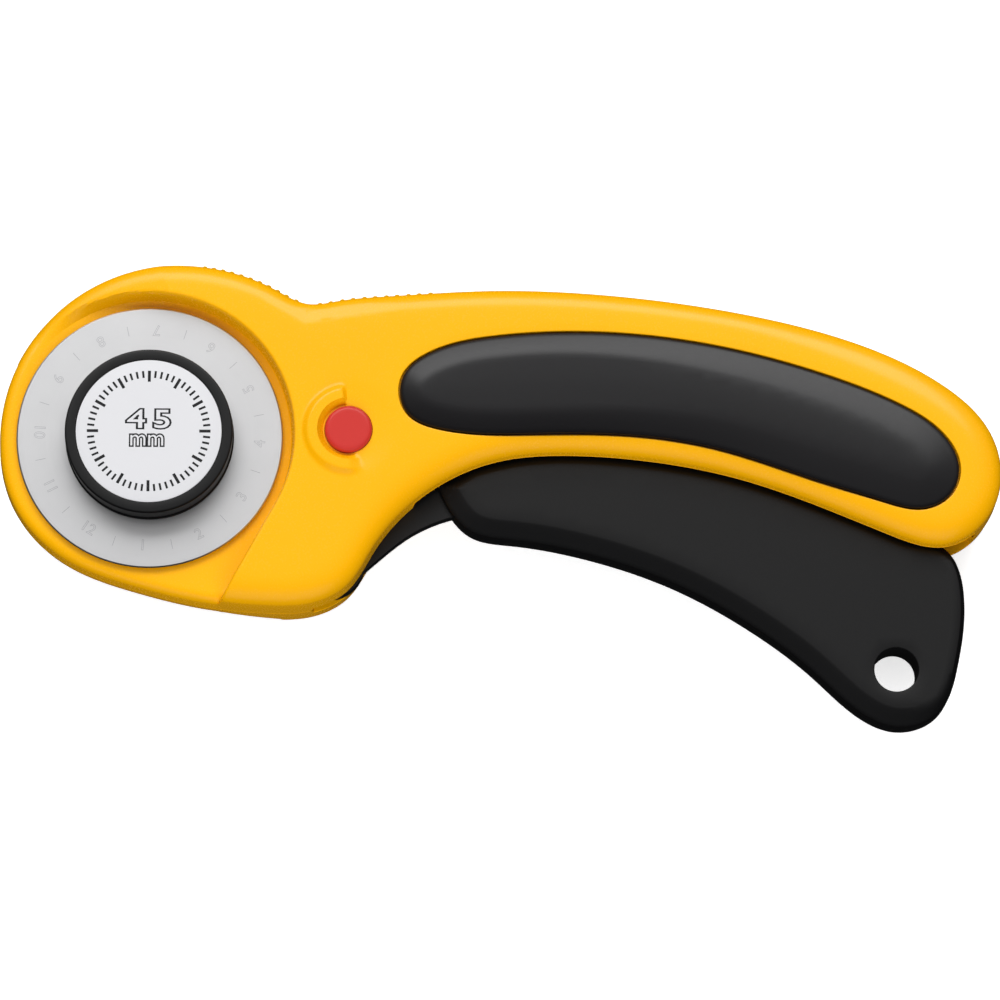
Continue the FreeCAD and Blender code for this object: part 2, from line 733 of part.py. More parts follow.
def make_grip(label, front):
    """Soft pad with a rounded crown, pressed into its seat."""
    sketch = loose_sketch(label + "_outline", "grip_seat_level")
    draw_closed_spline(sketch, GRIP_OUTLINE)
    pad_solid = extrude(sketch, "Sizes.grip_crown_level - Sizes.grip_seat_level", label + "_blank")
    rounded = round_levels(pad_solid, [number("grip_crown_level")], "grip_edge_round", label + "_round")
    if front:
        return finish_part(rounded, label)
    mirrored = doc.addObject("Part::Mirroring", label + "_mirrored")
    mirrored.Source = rounded
    mirrored.Normal = Vector(0, 0, 1)
    return finish_part(mirrored, label)


PIN_END_BEVEL = 0.3
SCREW_SLOT_LENGTH = 4.0
SCREW_SLOT_WIDTH = 0.7
SCREW_SLOT_DEPTH = 0.9


def make_pivot_pin():
    """Steel pin with broken edges that the trigger turns on."""
    pin = new_body("pivot_pin", "pivot_across", "pivot_up")
    sketch = body_sketch(pin, "pin_section")
    draw_circle(sketch, 0.0, 0.0, "pin_radius")
    pad(pin, sketch, "2 * Sizes.pin_half_length", midplane=True)
    plain = pin.Tip
    chamfer = pin.newObject("PartDesign::Chamfer", "pin_ends")
    rims = []
    for place, edge in enumerate(plain.Shape.Edges, start=1):
        if isinstance(edge.Curve, Part.Circle):
            rims.append(f"Edge{place}")
    chamfer.Base = (plain, rims)
    chamfer.Size = PIN_END_BEVEL
    doc.recompute()
    return pin


def make_housing_screws():
    """Self-tapping screws, heads to the rear, that hold the halves together."""
    screws = []
    foot = number("screw_head_level") - number("screw_head_height")
    for place, (across, up) in enumerate(SCREW_PLACES, start=1):
        head = cylinder(f"screw_head_{place}", across, up, 0.0,
                        "Sizes.screw_head_radius", "Sizes.screw_head_height")
        head.setExpression("Placement.Base.z", "Sizes.screw_head_level - Sizes.screw_head_height")
        shank = cylinder(f"screw_shank_{place}", across, up, "screw_head_level",
                         "Sizes.screw_radius", "Sizes.screw_length")
        slots = []
        for name, length, width in (("slot", SCREW_SLOT_LENGTH, SCREW_SLOT_WIDTH),
                                    ("cross", SCREW_SLOT_WIDTH, SCREW_SLOT_LENGTH)):
            slot = doc.addObject("Part::Box", f"screw_{name}_{place}")
            slot.Placement.Base = Vector(across - length / 2, up - width / 2, foot)
            slot.Length = length
            slot.Width = width
            slot.Height = SCREW_SLOT_DEPTH
            slots.append(slot)
        whole = fuse([head, shank], f"screw_{place}")
        screws.append(cut(whole, slots, f"screw_slotted_{place}"))
    group = doc.addObject("Part::Compound", "housing_screws_group")
    group.Links = screws
    return finish_part(group, "housing_screws")


# ---------------------------------------------------------------- trigger

HUB_FLANGE_WIDTH = 3.0
LOCK_SLOT_GAP = 0.3
HOOK_GAP = 0.1


def make_trigger_arm():
    """Lever from the blade's hub past the pivot and the lock into the trigger grip."""
    arm = new_body("trigger_arm")
    web = body_sketch(arm, "arm_web")
    corners = ARM_WEB + [ARM_LOWER_EDGE[0]]
    pieces = [ARM_LOWER_EDGE] + [list(pair) for pair in zip(corners, corners[1:])]
    draw_chain(web, pieces)
    pad(arm, web, "2 * Sizes.arm_half_thickness", midplane=True)
    ends = body_sketch(arm, "arm_pivot_end")
    draw_circle(ends, "pivot_across", "pivot_up", "pivot_boss_radius")
    pad(arm, ends, "2 * Sizes.arm_half_thickness", midplane=True)
    hub_flange = body_sketch(arm, "hub_flange")
    draw_circle(hub_flange, 0.0, 0.0, ("hub_radius", HUB_FLANGE_WIDTH))
    pad(arm, hub_flange, "2 * Sizes.arm_half_thickness", midplane=True)
    hub = body_sketch(arm, "hub")
    draw_circle(hub, 0.0, 0.0, "hub_radius")
    pad(arm, hub, "2 * (Sizes.blade_back_level - Sizes.seat_gap)", midplane=True)

    bush_hole = body_sketch(arm, "bush_hole")
    draw_circle(bush_hole, "pivot_across", "pivot_up", "bush_radius")
    pocket_through(arm, bush_hole)
    bolt_hole = body_sketch(arm, "bolt_hole")
    draw_bolt_section(bolt_hole)
    pocket_through(arm, bolt_hole)
    reach, direction = pivot_polar("lock_across", "lock_up")
    travel = number("trigger_travel_degrees")
    centre = (number("pivot_across"), number("pivot_up"))
    lock_slot = body_sketch(arm, "lock_slot")
    draw_swept_slot(lock_slot, centre, reach, number("lock_neck_radius") + LOCK_SLOT_GAP,
                    direction - travel, travel)
    pocket_through(arm, lock_slot)
    for name, turn in (("closed", 0.0), ("open", travel)):
        key_hole = body_sketch(arm, f"key_hole_{name}")
        angle = math.radians(direction - turn)
        across = centre[0] + reach * math.cos(angle)
        up = centre[1] + reach * math.sin(angle)
        draw_circle(key_hole, across, up, ("lock_key_radius", number("running_gap")))
        pocket_through(arm, key_hole)
    hook_hole = body_sketch(arm, "spring_hook_hole")
    draw_circle(hook_hole, ("pivot_across", -SPRING_LEG_LENGTH),
                centre[1] + number("spring_coil_radius"), ("spring_wire_radius", HOOK_GAP))
    pocket_through(arm, hook_hole)
    return arm


def draw_bolt_section(sketch):
    """Round with two flats, which keeps the bolt from turning in the arm."""
    radius = number("bolt_shank_radius")
    flat = number("bolt_flat_half_width")
    corner = math.sqrt(radius * radius - flat * flat)
    turn = math.atan2(flat, corner)
    circle = Part.Circle(Vector(), Vector(0, 0, 1), radius)
    sketch.addGeometry(Part.ArcOfCircle(circle, -turn, turn))
    sketch.addGeometry(Part.ArcOfCircle(circle, math.pi - turn, math.pi + turn))
    for up in (flat, -flat):
        sketch.addGeometry(Part.LineSegment(Vector(-corner, up, 0), Vector(corner, up, 0)))


def make_trigger_grip(arm):
    """Grip moulded over the arm's tongue, with the hanging hole in its tail."""
    sketch = loose_sketch("trigger_outline")
    sketch.setExpression("Placement.Base.z", "-Sizes.trigger_half_thickness")
    draw_chain(sketch, [TRIGGER_BELLY, TRIGGER_TOP, [TRIGGER_TOP[-1], TRIGGER_BELLY[0]]])
    blank = extrude(sketch, "2 * Sizes.trigger_half_thickness", "trigger_blank")
    half = number("trigger_half_thickness")
    rounded = round_levels(blank, [-half, half], "trigger_edge_round", "trigger_rounded")
    hole = cylinder("hang_hole", "hang_across", "hang_up", -CUT_DEPTH / 2,
                    "Sizes.hang_radius", CUT_DEPTH)
    core = doc.addObject("Part::Feature", "trigger_core")
    core.Shape = arm.Shape.translated(Vector(0, 0, -number("mid_plane_height")))
    return finish_part(cut(rounded, [hole, core], "trigger_open"), "trigger_grip")


def make_pivot_bush():
    """Brass bush pressed into the arm."""
    foot = -number("bush_half_length")
    return turned_body("pivot_bush", [
        ("bush_bore_radius", foot), ("bush_radius", foot),
        ("bush_radius", "bush_half_length"), ("bush_bore_radius", "bush_half_length"),
    ], "pivot_across", "pivot_up")


# ---------------------------------------------------------------- blade clamp

def make_blade_bolt():
    """Bolt: thin head under the cap, flatted shank through blade and arm, threaded end."""
    bolt = new_body("blade_bolt")
    head = body_sketch(bolt, "bolt_head", level="clamp_level")
    draw_circle(head, 0.0, 0.0, "bolt_head_radius")
    pad(bolt, head, "Sizes.bolt_head_height")
    shoulder = body_sketch(bolt, "bolt_shoulder", level="clamp_level")
    draw_circle(shoulder, 0.0, 0.0, "bolt_shank_radius")
    pad(bolt, shoulder, "Sizes.blade_thickness + 2 * Sizes.seat_gap", reverse=True)
    flats = body_sketch(bolt, "bolt_flats", level="clamp_level")
    draw_bolt_section(flats)
    pad(bolt, flats, "2 * Sizes.blade_back_level + Sizes.blade_thickness", reverse=True)
    thread = body_sketch(bolt, "bolt_thread", level="clamp_level")
    draw_circle(thread, 0.0, 0.0, "thread_radius")
    pad(bolt, thread, "Sizes.bolt_length", reverse=True)
    return bolt


CAP_FLANGE_HEIGHT = 0.45
CAP_EDGE_ROUND = 0.35
LABEL_SEAT_DEPTH = 0.25
LABEL_SEAT_GAP = 0.1


def make_bolt_cap():
    """Black cap over the bolt's head, with a thin foot flange and a shallow seat for the label."""
    wall = ("cap_radius", -0.12)
    groove = ("cap_radius", -0.25)
    top_edge = ("cap_radius", -0.12 - CAP_EDGE_ROUND)
    seat = ("label_radius", LABEL_SEAT_GAP)
    seat_floor = ("cap_height", -LABEL_SEAT_DEPTH)
    return turned_body("bolt_cap", [
        ("bolt_head_radius", 0.0), ("cap_radius", 0.0), ("cap_radius", CAP_FLANGE_HEIGHT),
        (groove, CAP_FLANGE_HEIGHT + 0.15), (wall, ("cap_height", -CAP_EDGE_ROUND)),
        (top_edge, "cap_height"), (seat, "cap_height"), (seat, seat_floor), (0.0, seat_floor),
        (0.0, "bolt_head_height"), ("bolt_head_radius", "bolt_head_height"),
    ], level="clamp_level")


def make_cap_label():
    """Printed disc in the cap's seat."""
    label = new_body("cap_label", level="clamp_level")
    sketch = body_sketch(label, "label_disc", level=("cap_height", -LABEL_SEAT_DEPTH))
    draw_circle(sketch, 0.0, 0.0, "label_radius")
    pad(label, sketch, "Sizes.label_thickness")
    return label


BLADE_EDGE_BEVEL = 0.13


def make_blade():
    """Round blade with its bore."""
    blade = new_body("blade", level="blade_back_level")
    disc = body_sketch(blade, "blade_disc")
    draw_circle(disc, 0.0, 0.0, "blade_radius")
    draw_circle(disc, 0.0, 0.0, "blade_bore_radius")
    pad(blade, disc, "Sizes.blade_thickness")
    flat = blade.Tip
    bevel = blade.newObject("PartDesign::Chamfer", "cutting_edge")
    rims = []
    for place, edge in enumerate(flat.Shape.Edges, start=1):
        if isinstance(edge.Curve, Part.Circle) and edge.Curve.Radius > number("blade_bore_radius"):
            rims.append(f"Edge{place}")
    bevel.Base = (flat, rims)
    bevel.ChamferType = "Two distances"
    bevel.Size = BLADE_EDGE_BEVEL
    bevel.Size2 = BLADE_EDGE_BEVEL
    doc.recompute()
    return blade


WASHER_HALF_BAND = 10.0


def make_spring_washer():
    """Bowed washer between the arm's hub and the nut."""
    crown = -number("blade_back_level")
    bow = number("washer_bow_radius")
    outer = doc.addObject("Part::Cylinder", "washer_bow_outer")
    inner = doc.addObject("Part::Cylinder", "washer_bow_inner")
    for solid, shrink in ((outer, "0"), (inner, "Sizes.washer_thickness")):
        solid.Placement = FreeCAD.Placement(Vector(0, WASHER_HALF_BAND, crown - bow),
                                            Rotation(Vector(1, 0, 0), 90))
        solid.setExpression("Radius", f"Sizes.washer_bow_radius - {shrink}")
        solid.Height = 2 * WASHER_HALF_BAND
    band = cut(outer, [inner], "washer_band")
    disc = cylinder("washer_disc", 0.0, 0.0, -CUT_DEPTH, "Sizes.washer_outer_radius", CUT_DEPTH)
    hole = cylinder("washer_hole", 0.0, 0.0, -CUT_DEPTH, "Sizes.washer_inner_radius", CUT_DEPTH)
    ring = cut(disc, [hole], "washer_ring")
    washer = doc.addObject("Part::Common", "spring_washer_solid")
    washer.Base = band
    washer.Tool = ring
    return finish_part(washer, "spring_washer")


NUT_SCALLOPS = 12


def make_blade_nut():
    """Closed plastic nut with a scalloped rim that fingers can turn."""
    nut = new_body("blade_nut", level="nut_top_level")
    disc = body_sketch(nut, "nut_disc")
    draw_circle(disc, 0.0, 0.0, "nut_radius")
    pad(nut, disc, "Sizes.mid_plane_height + Sizes.nut_top_level", reverse=True)
    scallop = body_sketch(nut, "nut_scallop")
    draw_circle(scallop, ("nut_radius", number("scallop_offset")), 0.0, "scallop_radius")
    cutter = pocket_through(nut, scallop)
    pattern = nut.newObject("PartDesign::PolarPattern", "nut_scallops")
    pattern.Originals = [cutter]
    pattern.Axis = (scallop, ["N_Axis"])
    pattern.Angle = 360.0
    pattern.Occurrences = NUT_SCALLOPS
    nut.Tip = pattern
    seat = body_sketch(nut, "insert_seat")
    draw_circle(seat, 0.0, 0.0, "insert_radius")
    before = nut.Shape.Volume
    pocket = nut.newObject("PartDesign::Pocket", "insert_pocket")
    pocket.Profile = seat
    pocket.setExpression("Length", "Sizes.insert_height")
    doc.recompute()
    if nut.Shape.Volume >= before:
        raise RuntimeError("the insert's pocket cuts nothing")
    return nut


def make_nut_insert():
    """Threaded brass insert moulded into the nut."""
    return turned_body("nut_insert", [
        ("thread_radius", 0.0), ("insert_radius", 0.0), ("insert_radius", "insert_height"),
        ("thread_radius", "insert_height"),
    ], level=("nut_top_level", -number("insert_height")))


# ---------------------------------------------------------------- lock

BUTTON_EDGE = (0.7, 0.6)
GROOVE_DEPTH = 0.3
GROOVE_HALF_MOUTH = 0.4
GROOVE_HALF_FLOOR = 0.2
CAP_INNER_LEVEL = -3.4


def make_lock_button():
    """Front button with its key section, slim neck and two detent grooves."""
    face = number("lock_face_level")
    shoulder = number("lock_shoulder_level")
    key_end = number("plate_inner_level")
    neck = number("lock_neck_radius")
    groove = neck - GROOVE_DEPTH
    radius = number("lock_radius")
    foot = number("lock_neck_end")
    middle = number("clip_level")
    travel = number("lock_travel")
    key = number("lock_key_radius")
    corners = [(0.0, face), (radius - BUTTON_EDGE[0], face), (radius, face - BUTTON_EDGE[1]),
               (radius, shoulder), (key, shoulder), (key, key_end), (neck, key_end)]
    for level in (middle + travel, middle):
        corners += [(neck, level + GROOVE_HALF_MOUTH), (groove, level + GROOVE_HALF_FLOOR),
                    (groove, level - GROOVE_HALF_FLOOR), (neck, level - GROOVE_HALF_MOUTH)]
    corners += [(neck, foot), (0.0, foot)]
    return turned_body("lock_button", corners, "lock_across", "lock_up")


def make_lock_button_cap():
    """Rear button, pressed onto the neck's end."""
    face = number("lock_travel") - number("lock_face_level")
    return turned_body("lock_button_cap", [
        (0.0, face), (("lock_radius", -BUTTON_EDGE[0]), face), ("lock_radius", face + BUTTON_EDGE[1]),
        ("lock_radius", CAP_INNER_LEVEL), ("lock_neck_radius", CAP_INNER_LEVEL),
        ("lock_neck_radius", "lock_neck_end"), (0.0, "lock_neck_end"),
    ], "lock_across", "lock_up")


# ---------------------------------------------------------------- build and write

def build():
    """Every sub-part, in the order it would be assembled."""
    half = half_housing()
    arm = make_trigger_arm()
    parts = [
        make_front_shell(half),
        make_rear_shell(half),
        make_grip("front_grip", True),
        make_grip("rear_grip", False),
        make_pivot_pin(),
        make_return_spring(),
        make_detent_clip(),
        make_housing_screws(),
        arm,
        make_trigger_grip(arm),
        make_pivot_bush(),
        make_blade_bolt(),
        make_bolt_cap(),
        make_cap_label(),
        make_spring_washer(),
        make_blade_nut(),
        make_nut_insert(),
        make_blade(),
        make_lock_button(),
        make_lock_button_cap(),
    ]
    doc.recompute()
    return parts


def check_objects():
    """Stops the build if any object of the document failed."""
    for item in doc.Objects:
        if "Invalid" in item.State or "Error" in item.State:
            raise RuntimeError(f"{item.Name} did not compute: {item.State}")


def write(parts):
    """Writes each sub-part's shape to its own file."""
    os.makedirs("parts", exist_ok=True)
    for part in parts:
        shape = part.Shape
        if shape.isNull() or not shape.isValid():
            raise RuntimeError(f"{part.Label} has no valid shape")
        shape.exportStep(f"parts/{part.Label}.step")
        box = shape.BoundBox
        print(f"{part.Label:18s} solids {len(shape.Solids)} volume {shape.Volume:9.1f} "
              f"x {box.XMin:7.2f} {box.XMax:7.2f} y {box.YMin:7.2f} {box.YMax:7.2f} "
              f"z {box.ZMin:6.2f} {box.ZMax:6.2f}")


finished = build()
check_objects()
write(finished)
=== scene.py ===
"""Rotary cutter with a 45 mm round blade: finishes, detailed mouldings and a studio stage.

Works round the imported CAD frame. The cutter lies on its back: X runs along the handle from the
blade's axis, Y points to the thumb rest and Z up through the front face. Outlines and levels here
are in millimetres, and a level is a height above the plane where the housing's two halves meet.
"""

import json
import math

import bmesh
import bpy
import numpy as np
from bpy.props import FloatProperty, FloatVectorProperty, IntProperty, PointerProperty
from mathutils import Matrix, Vector
from mathutils.geometry import delaunay_2d_cdt
from mathutils.kdtree import KDTree


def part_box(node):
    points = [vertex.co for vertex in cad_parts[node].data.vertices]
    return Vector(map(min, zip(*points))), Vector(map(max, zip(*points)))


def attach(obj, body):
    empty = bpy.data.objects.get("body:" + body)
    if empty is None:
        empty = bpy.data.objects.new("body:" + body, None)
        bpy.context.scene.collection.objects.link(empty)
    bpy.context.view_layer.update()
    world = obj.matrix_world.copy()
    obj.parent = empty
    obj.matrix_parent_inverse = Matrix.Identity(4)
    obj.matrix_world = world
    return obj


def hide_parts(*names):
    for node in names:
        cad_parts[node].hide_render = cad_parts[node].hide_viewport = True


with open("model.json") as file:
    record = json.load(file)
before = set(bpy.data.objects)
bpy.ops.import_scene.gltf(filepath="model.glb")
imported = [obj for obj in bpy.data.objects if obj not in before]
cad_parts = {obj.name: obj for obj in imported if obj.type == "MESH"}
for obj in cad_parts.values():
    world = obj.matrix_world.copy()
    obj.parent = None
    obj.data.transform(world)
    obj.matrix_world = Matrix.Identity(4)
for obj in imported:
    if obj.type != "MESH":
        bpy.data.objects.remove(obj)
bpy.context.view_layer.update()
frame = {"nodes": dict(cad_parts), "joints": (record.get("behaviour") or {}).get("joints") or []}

bl_info = {
    "name": "Rotary cutter",
    "version": (1, 0, 0),
    "blender": (4, 5, 0),
    "location": "View3D > Sidebar > Cutter",
    "description": "Builds the finished mouldings, blade and stage of a rotary cutter",
    "category": "Object",
}

MM = 0.001
FULL_TURN = 2 * math.pi


# ---------------------------------------------------------------- colours and frame sizes

def linear(code):
    """Linear colour from an sRGB hex code."""
    channels = [int(code[place:place + 2], 16) / 255 for place in (1, 3, 5)]
    return tuple(c / 12.92 if c <= 0.04045 else ((c + 0.055) / 1.055) ** 2.4 for c in channels)


def node_low(node):
    """Lowest corner of a CAD node, in millimetres."""
    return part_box(node)[0] / MM


def node_high(node):
    """Highest corner of a CAD node, in millimetres."""
    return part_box(node)[1] / MM


def node_radius(node):
    """Radius of a round CAD node, in millimetres."""
    return (node_high(node).x - node_low(node).x) / 2


def node_centre(node):
    """Middle of a CAD node in plan, in millimetres."""
    middle = (node_low(node) + node_high(node)) / 2
    return np.array([middle.x, middle.y])


MID_PLANE = node_low("front_shell").z
PIVOT = node_centre("pivot_pin")
LOCK = node_centre("lock_button")


def level_of(height):
    """Level over the parting plane of a height over the table."""
    return height - MID_PLANE


# ---------------------------------------------------------------- outlines

HOUSING_OUTLINE = [
    (-25.6, 0.0), (-23.0, -11.6), (-13.9, -20.9), (-3.0, -25.2), (9.0, -28.1), (20.0, -29.2),
    (27.3, -28.8), (33.6, -25.6), (37.8, -19.3), (42.5, -13.2), (49.0, -8.0), (58.5, -3.9),
    (71.0, -2.7), (85.0, -3.7), (100.0, -6.7), (114.0, -11.6), (125.0, -16.1), (134.5, -18.2),
    (141.4, -14.0), (144.2, -6.5), (142.2, 1.8), (134.2, 9.8), (119.9, 16.8), (100.9, 21.8),
    (78.9, 24.9), (57.0, 25.7), (40.1, 24.7), (31.5, 23.8), (26.6, 23.3), (21.2, 25.7),
    (12.9, 28.9), (4.5, 29.9), (-5.4, 28.4), (-15.6, 22.7), (-22.6, 13.5),
]

GRIP_OUTLINE = [
    (42.0, 7.5), (43.4, 3.4), (49.0, 0.7), (64.0, -0.1), (80.0, -0.2), (96.0, -2.6),
    (113.1, -8.1), (124.0, -11.5), (131.0, -12.6), (135.6, -9.8), (136.9, -5.0), (133.6, 1.1),
    (126.9, 5.6), (113.4, 11.0), (96.0, 15.6), (76.0, 17.9), (58.0, 17.1), (46.7, 14.0), (42.8, 10.6),
]

TRIGGER_BELLY = [
    (48.4, -7.3), (50.8, -12.0), (54.2, -15.5), (61.0, -17.0), (74.1, -19.4), (88.2, -24.2),
    (101.2, -31.3), (112.4, -39.8), (118.9, -45.7), (126.3, -48.9), (132.8, -46.7), (136.5, -38.4),
    (137.8, -27.0), (135.5, -19.0), (128.7, -15.4),
]
TRIGGER_TOP = [(128.7, -15.4), (113.0, -9.0), (97.0, -3.9), (80.0, -1.3), (64.0, -1.2), (54.0, -3.4)]
TRIGGER_NOSE = [(54.0, -3.4), (48.4, -7.3)]

# Parts of the underside that stay open for the trigger's arm and for the trigger.
NECK_MOUTH = [(28.0, -34.0), (46.0, -16.0), (48.0, 0.0), (43.0, 0.0), (27.6, -26.0)]
TRIGGER_MOUTH = [
    (44.6, -16.0), (60.0, -12.0), (100.0, -16.0), (126.0, -24.0), (139.6, -24.0), (139.6, -12.0),
    (131.0, -8.0), (110.0, 4.0), (44.6, 4.0),
]
HANDLE_CAVITY_START = 44.6
SCREW_PLACES = [(25.5, 17.0), (60.5, 13.6), (88.0, 14.6), (137.6, 3.2)]
BARE_SCREWS = [SCREW_PLACES[0], SCREW_PLACES[3]]

THUMB_RIDGES = [*np.linspace(9.0, 24.6, 11), *np.linspace(28.6, 47.4, 11)]


def smooth_line(points, spacing, closed=True):
    """Points evenly along a smooth curve through the given ones."""
    knots = np.array(points, float)
    if closed:
        knots = np.vstack([knots, knots[:1]])
    span = np.linalg.norm(np.diff(knots, axis=0), axis=1)
    place = np.concatenate([[0.0], np.cumsum(span)])
    slope = np.diff(knots, axis=0) / span[:, None]
    last = len(span)
    matrix = np.zeros((last + 1, last + 1))
    right = np.zeros((last + 1, 2))
    for i in range(1, last):
        matrix[i, i - 1:i + 2] = span[i - 1], 2 * (span[i - 1] + span[i]), span[i]
        right[i] = 6 * (slope[i] - slope[i - 1])
    matrix[0, 0] = 1.0
    matrix[last, last] = 1.0
    if closed:
        matrix[0, last] = -1.0
        matrix[last, [0, 1, last - 1, last]] = 2 * span[0], span[0], span[-1], 2 * span[-1]
        right[last] = 6 * (slope[0] - slope[-1])
    bend = np.linalg.solve(matrix, right)
    count = max(3, round(place[-1] / spacing))
    at = np.linspace(0.0, place[-1], count + 1)
    if closed:
        at = at[:-1]
    i = np.clip(np.searchsorted(place, at, side="right") - 1, 0, last - 1)
    after = (at - place[i])[:, None]
    before = (place[i + 1] - at)[:, None]
    width = span[i][:, None]
    return (
        (bend[i] * before**3 + bend[i + 1] * after**3) / (6 * width)
        + (knots[i] / width - bend[i] * width / 6) * before
        + (knots[i + 1] / width - bend[i + 1] * width / 6) * after
    )


def inward(line):
    """Unit normals that point inside a closed anticlockwise line."""
    along = np.roll(line, -1, axis=0) - np.roll(line, 1, axis=0)
    along /= np.linalg.norm(along, axis=1)[:, None]
    return np.stack([-along[:, 1], along[:, 0]], axis=1)


def inside(line, points):
    """True for each point inside a closed line."""
    after = np.roll(line, -1, axis=0)
    found = np.zeros(len(points), bool)
    for start, end in zip(line, after):
        if start[1] == end[1]:
            continue
        crosses = (start[1] > points[:, 1]) != (end[1] > points[:, 1])
        at = (end[0] - start[0]) * (points[:, 1] - start[1]) / (end[1] - start[1]) + start[0]
        found ^= crosses & (points[:, 0] < at)
    return found


def depth(line, points):
    """Distance of each point inside a closed line, negative outside it."""
    after = np.roll(line, -1, axis=0)
    run = after - line
    length = (run**2).sum(axis=1)
    nearest = np.empty(len(points))
    for first in range(0, len(points), 1000):
        block = points[first:first + 1000]
        gap = block[:, None, :] - line[None, :, :]
        share = np.clip((gap * run).sum(axis=2) / length, 0.0, 1.0)
        gap -= share[:, :, None] * run
        nearest[first:first + 1000] = np.sqrt((gap**2).sum(axis=2).min(axis=1))
    return np.where(inside(line, points), nearest, -nearest)


def snapped(values, rings, reach=0.012):
    """Values moved onto the ring distance they lie beside."""
    values = values.copy()
    for ring in rings:
        values[np.abs(values - ring) < reach] = ring
    return values


def circle(centre, radius, count):
    """Closed round line."""
    turn = np.linspace(0, FULL_TURN, count, endpoint=False)
    return np.asarray(centre) + radius * np.stack([np.cos(turn), np.sin(turn)], axis=1)


def step(value, start, end):
    """Smooth rise from 0 at start to 1 at end."""
    share = np.clip((value - start) / (end - start), 0.0, 1.0)
    return share * share * (3 - 2 * share)


def quarter_round(value, width):
    """Rise from 0 to 1 over a width, as a quarter of a circle seen from the side."""
    share = np.clip(value / width, 0.0, 1.0)
    return np.sqrt(np.clip(1 - (1 - share) ** 2, 0.0, 1.0))


# ---------------------------------------------------------------- mesh helpers

def plan(closed_lines, open_lines, spacing, keep):
    """Flat triangles over a region: its lines become edges, and an even grid fills the rest."""
    points = []
    edges = []
    for line, is_closed in [(x, True) for x in closed_lines] + [(x, False) for x in open_lines]:
        first = len(points)
        points.extend(map(tuple, line))
        count = len(line)
        edges += [(first + i, first + i + 1) for i in range(count - 1)]
        if is_closed:
            edges.append((first + count - 1, first))
    tree = KDTree(len(points))
    for place, point in enumerate(points):
        tree.insert((point[0], point[1], 0.0), place)
    tree.balance()
    low = np.min(closed_lines[0], axis=0)
    high = np.max(closed_lines[0], axis=0)
    grid = []
    for row, up in enumerate(np.arange(low[1], high[1], spacing * 0.866)):
        shift = spacing / 2 if row % 2 else 0.0
        grid += [(across + shift, up) for across in np.arange(low[0], high[0], spacing)]
    grid = np.array(grid)
    grid = grid[keep(grid)]
    for across, up in grid:
        if tree.find((across, up, 0.0))[2] > spacing * 0.6:
            points.append((across, up))
    found, _, faces, _, _, _ = delaunay_2d_cdt([Vector(p) for p in points], edges, [], 0, 1e-5)
    found = np.array([tuple(p) for p in found])
    faces = np.array(faces)
    return found, faces[keep(found[faces].mean(axis=1))]


def strip(lower, upper):
    """Faces between two closed rings of equal length."""
    count = len(lower)
    points = np.vstack([lower, upper])
    faces = [(i, (i + 1) % count, count + (i + 1) % count, count + i) for i in range(count)]
    return points, faces


def raised(line, level):
    """Flat line or points lifted to a level or to one level each."""
    return np.column_stack([line, np.broadcast_to(level, len(line))])


def lathe(profile, segments, centre=(0.0, 0.0)):
    """Closed turned solid from a line of (radius, level), from the axis round to the axis."""
    points = []
    rings = []
    for radius, level in profile:
        if radius < 1e-6:
            rings.append([len(points)])
            points.append((centre[0], centre[1], level))
            continue
        rings.append(list(range(len(points), len(points) + segments)))
        for across, up in circle(centre, radius, segments):
            points.append((across, up, level))
    faces = []
    for first, second in zip(rings, rings[1:]):
        for i in range(segments):
            j = (i + 1) % segments
            corners = [first[i % len(first)], first[j % len(first)],
                       second[j % len(second)], second[i % len(second)]]
            faces.append(tuple(dict.fromkeys(corners)))
    return points, [face for face in faces if len(face) > 2]


def rounded(corners, steps=6):
    """Profile whose corners, given as (radius, level, rounding), are turned into arcs."""
    profile = []
    for place, (radius, level, rounding) in enumerate(corners):
        here = np.array([radius, level])
        if rounding == 0 or place in (0, len(corners) - 1):
            profile.append((radius, level))
            continue
        back = np.array(corners[place - 1][:2]) - here
        ahead = np.array(corners[place + 1][:2]) - here
        back /= np.linalg.norm(back)
        ahead /= np.linalg.norm(ahead)
        half = math.acos(np.clip(back @ ahead, -1, 1)) / 2
        reach = rounding / math.tan(half)
        centre = here + (back + ahead) / np.linalg.norm(back + ahead) * rounding / math.sin(half)
        start = here + back * reach - centre
        end = here + ahead * reach - centre
        first = math.atan2(start[1], start[0])
        turn = (math.atan2(end[1], end[0]) - first + math.pi) % FULL_TURN - math.pi
        for share in np.linspace(0, 1, steps):
            angle = first + turn * share
            profile.append(tuple(centre + rounding * np.array([math.cos(angle), math.sin(angle)])))
    return profile


def piece(name, meshes, material, body, nodes=(), sharp=32.0, merge=0.002):
    """Object made of one or more meshes in millimetres, riding on a body in place of CAD nodes."""
    work = bmesh.new()
    for points, faces in meshes:
        corners = [work.verts.new((x * MM, y * MM, (z + MID_PLANE) * MM)) for x, y, z in points]
        for face in faces:
            work.faces.new([corners[i] for i in face])
    bmesh.ops.remove_doubles(work, verts=work.verts, dist=merge * MM)
    bmesh.ops.recalc_face_normals(work, faces=work.faces)
    mesh = bpy.data.meshes.new(name)
    work.to_mesh(mesh)
    work.free()
    mesh.shade_smooth()
    mesh.set_sharp_from_angle(angle=math.radians(sharp))
    mesh.materials.append(material)
    made = bpy.data.objects.new(name, mesh)
    bpy.context.scene.collection.objects.link(made)
    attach(made, body)
    if nodes:
        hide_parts(*nodes)
    return made


# ---------------------------------------------------------------- sizes and colours

def size_setting(name, description, size):
    """Property for a size given in millimetres."""
    return FloatProperty(
        name=name, description=description, default=size * MM, unit="LENGTH", precision=5)


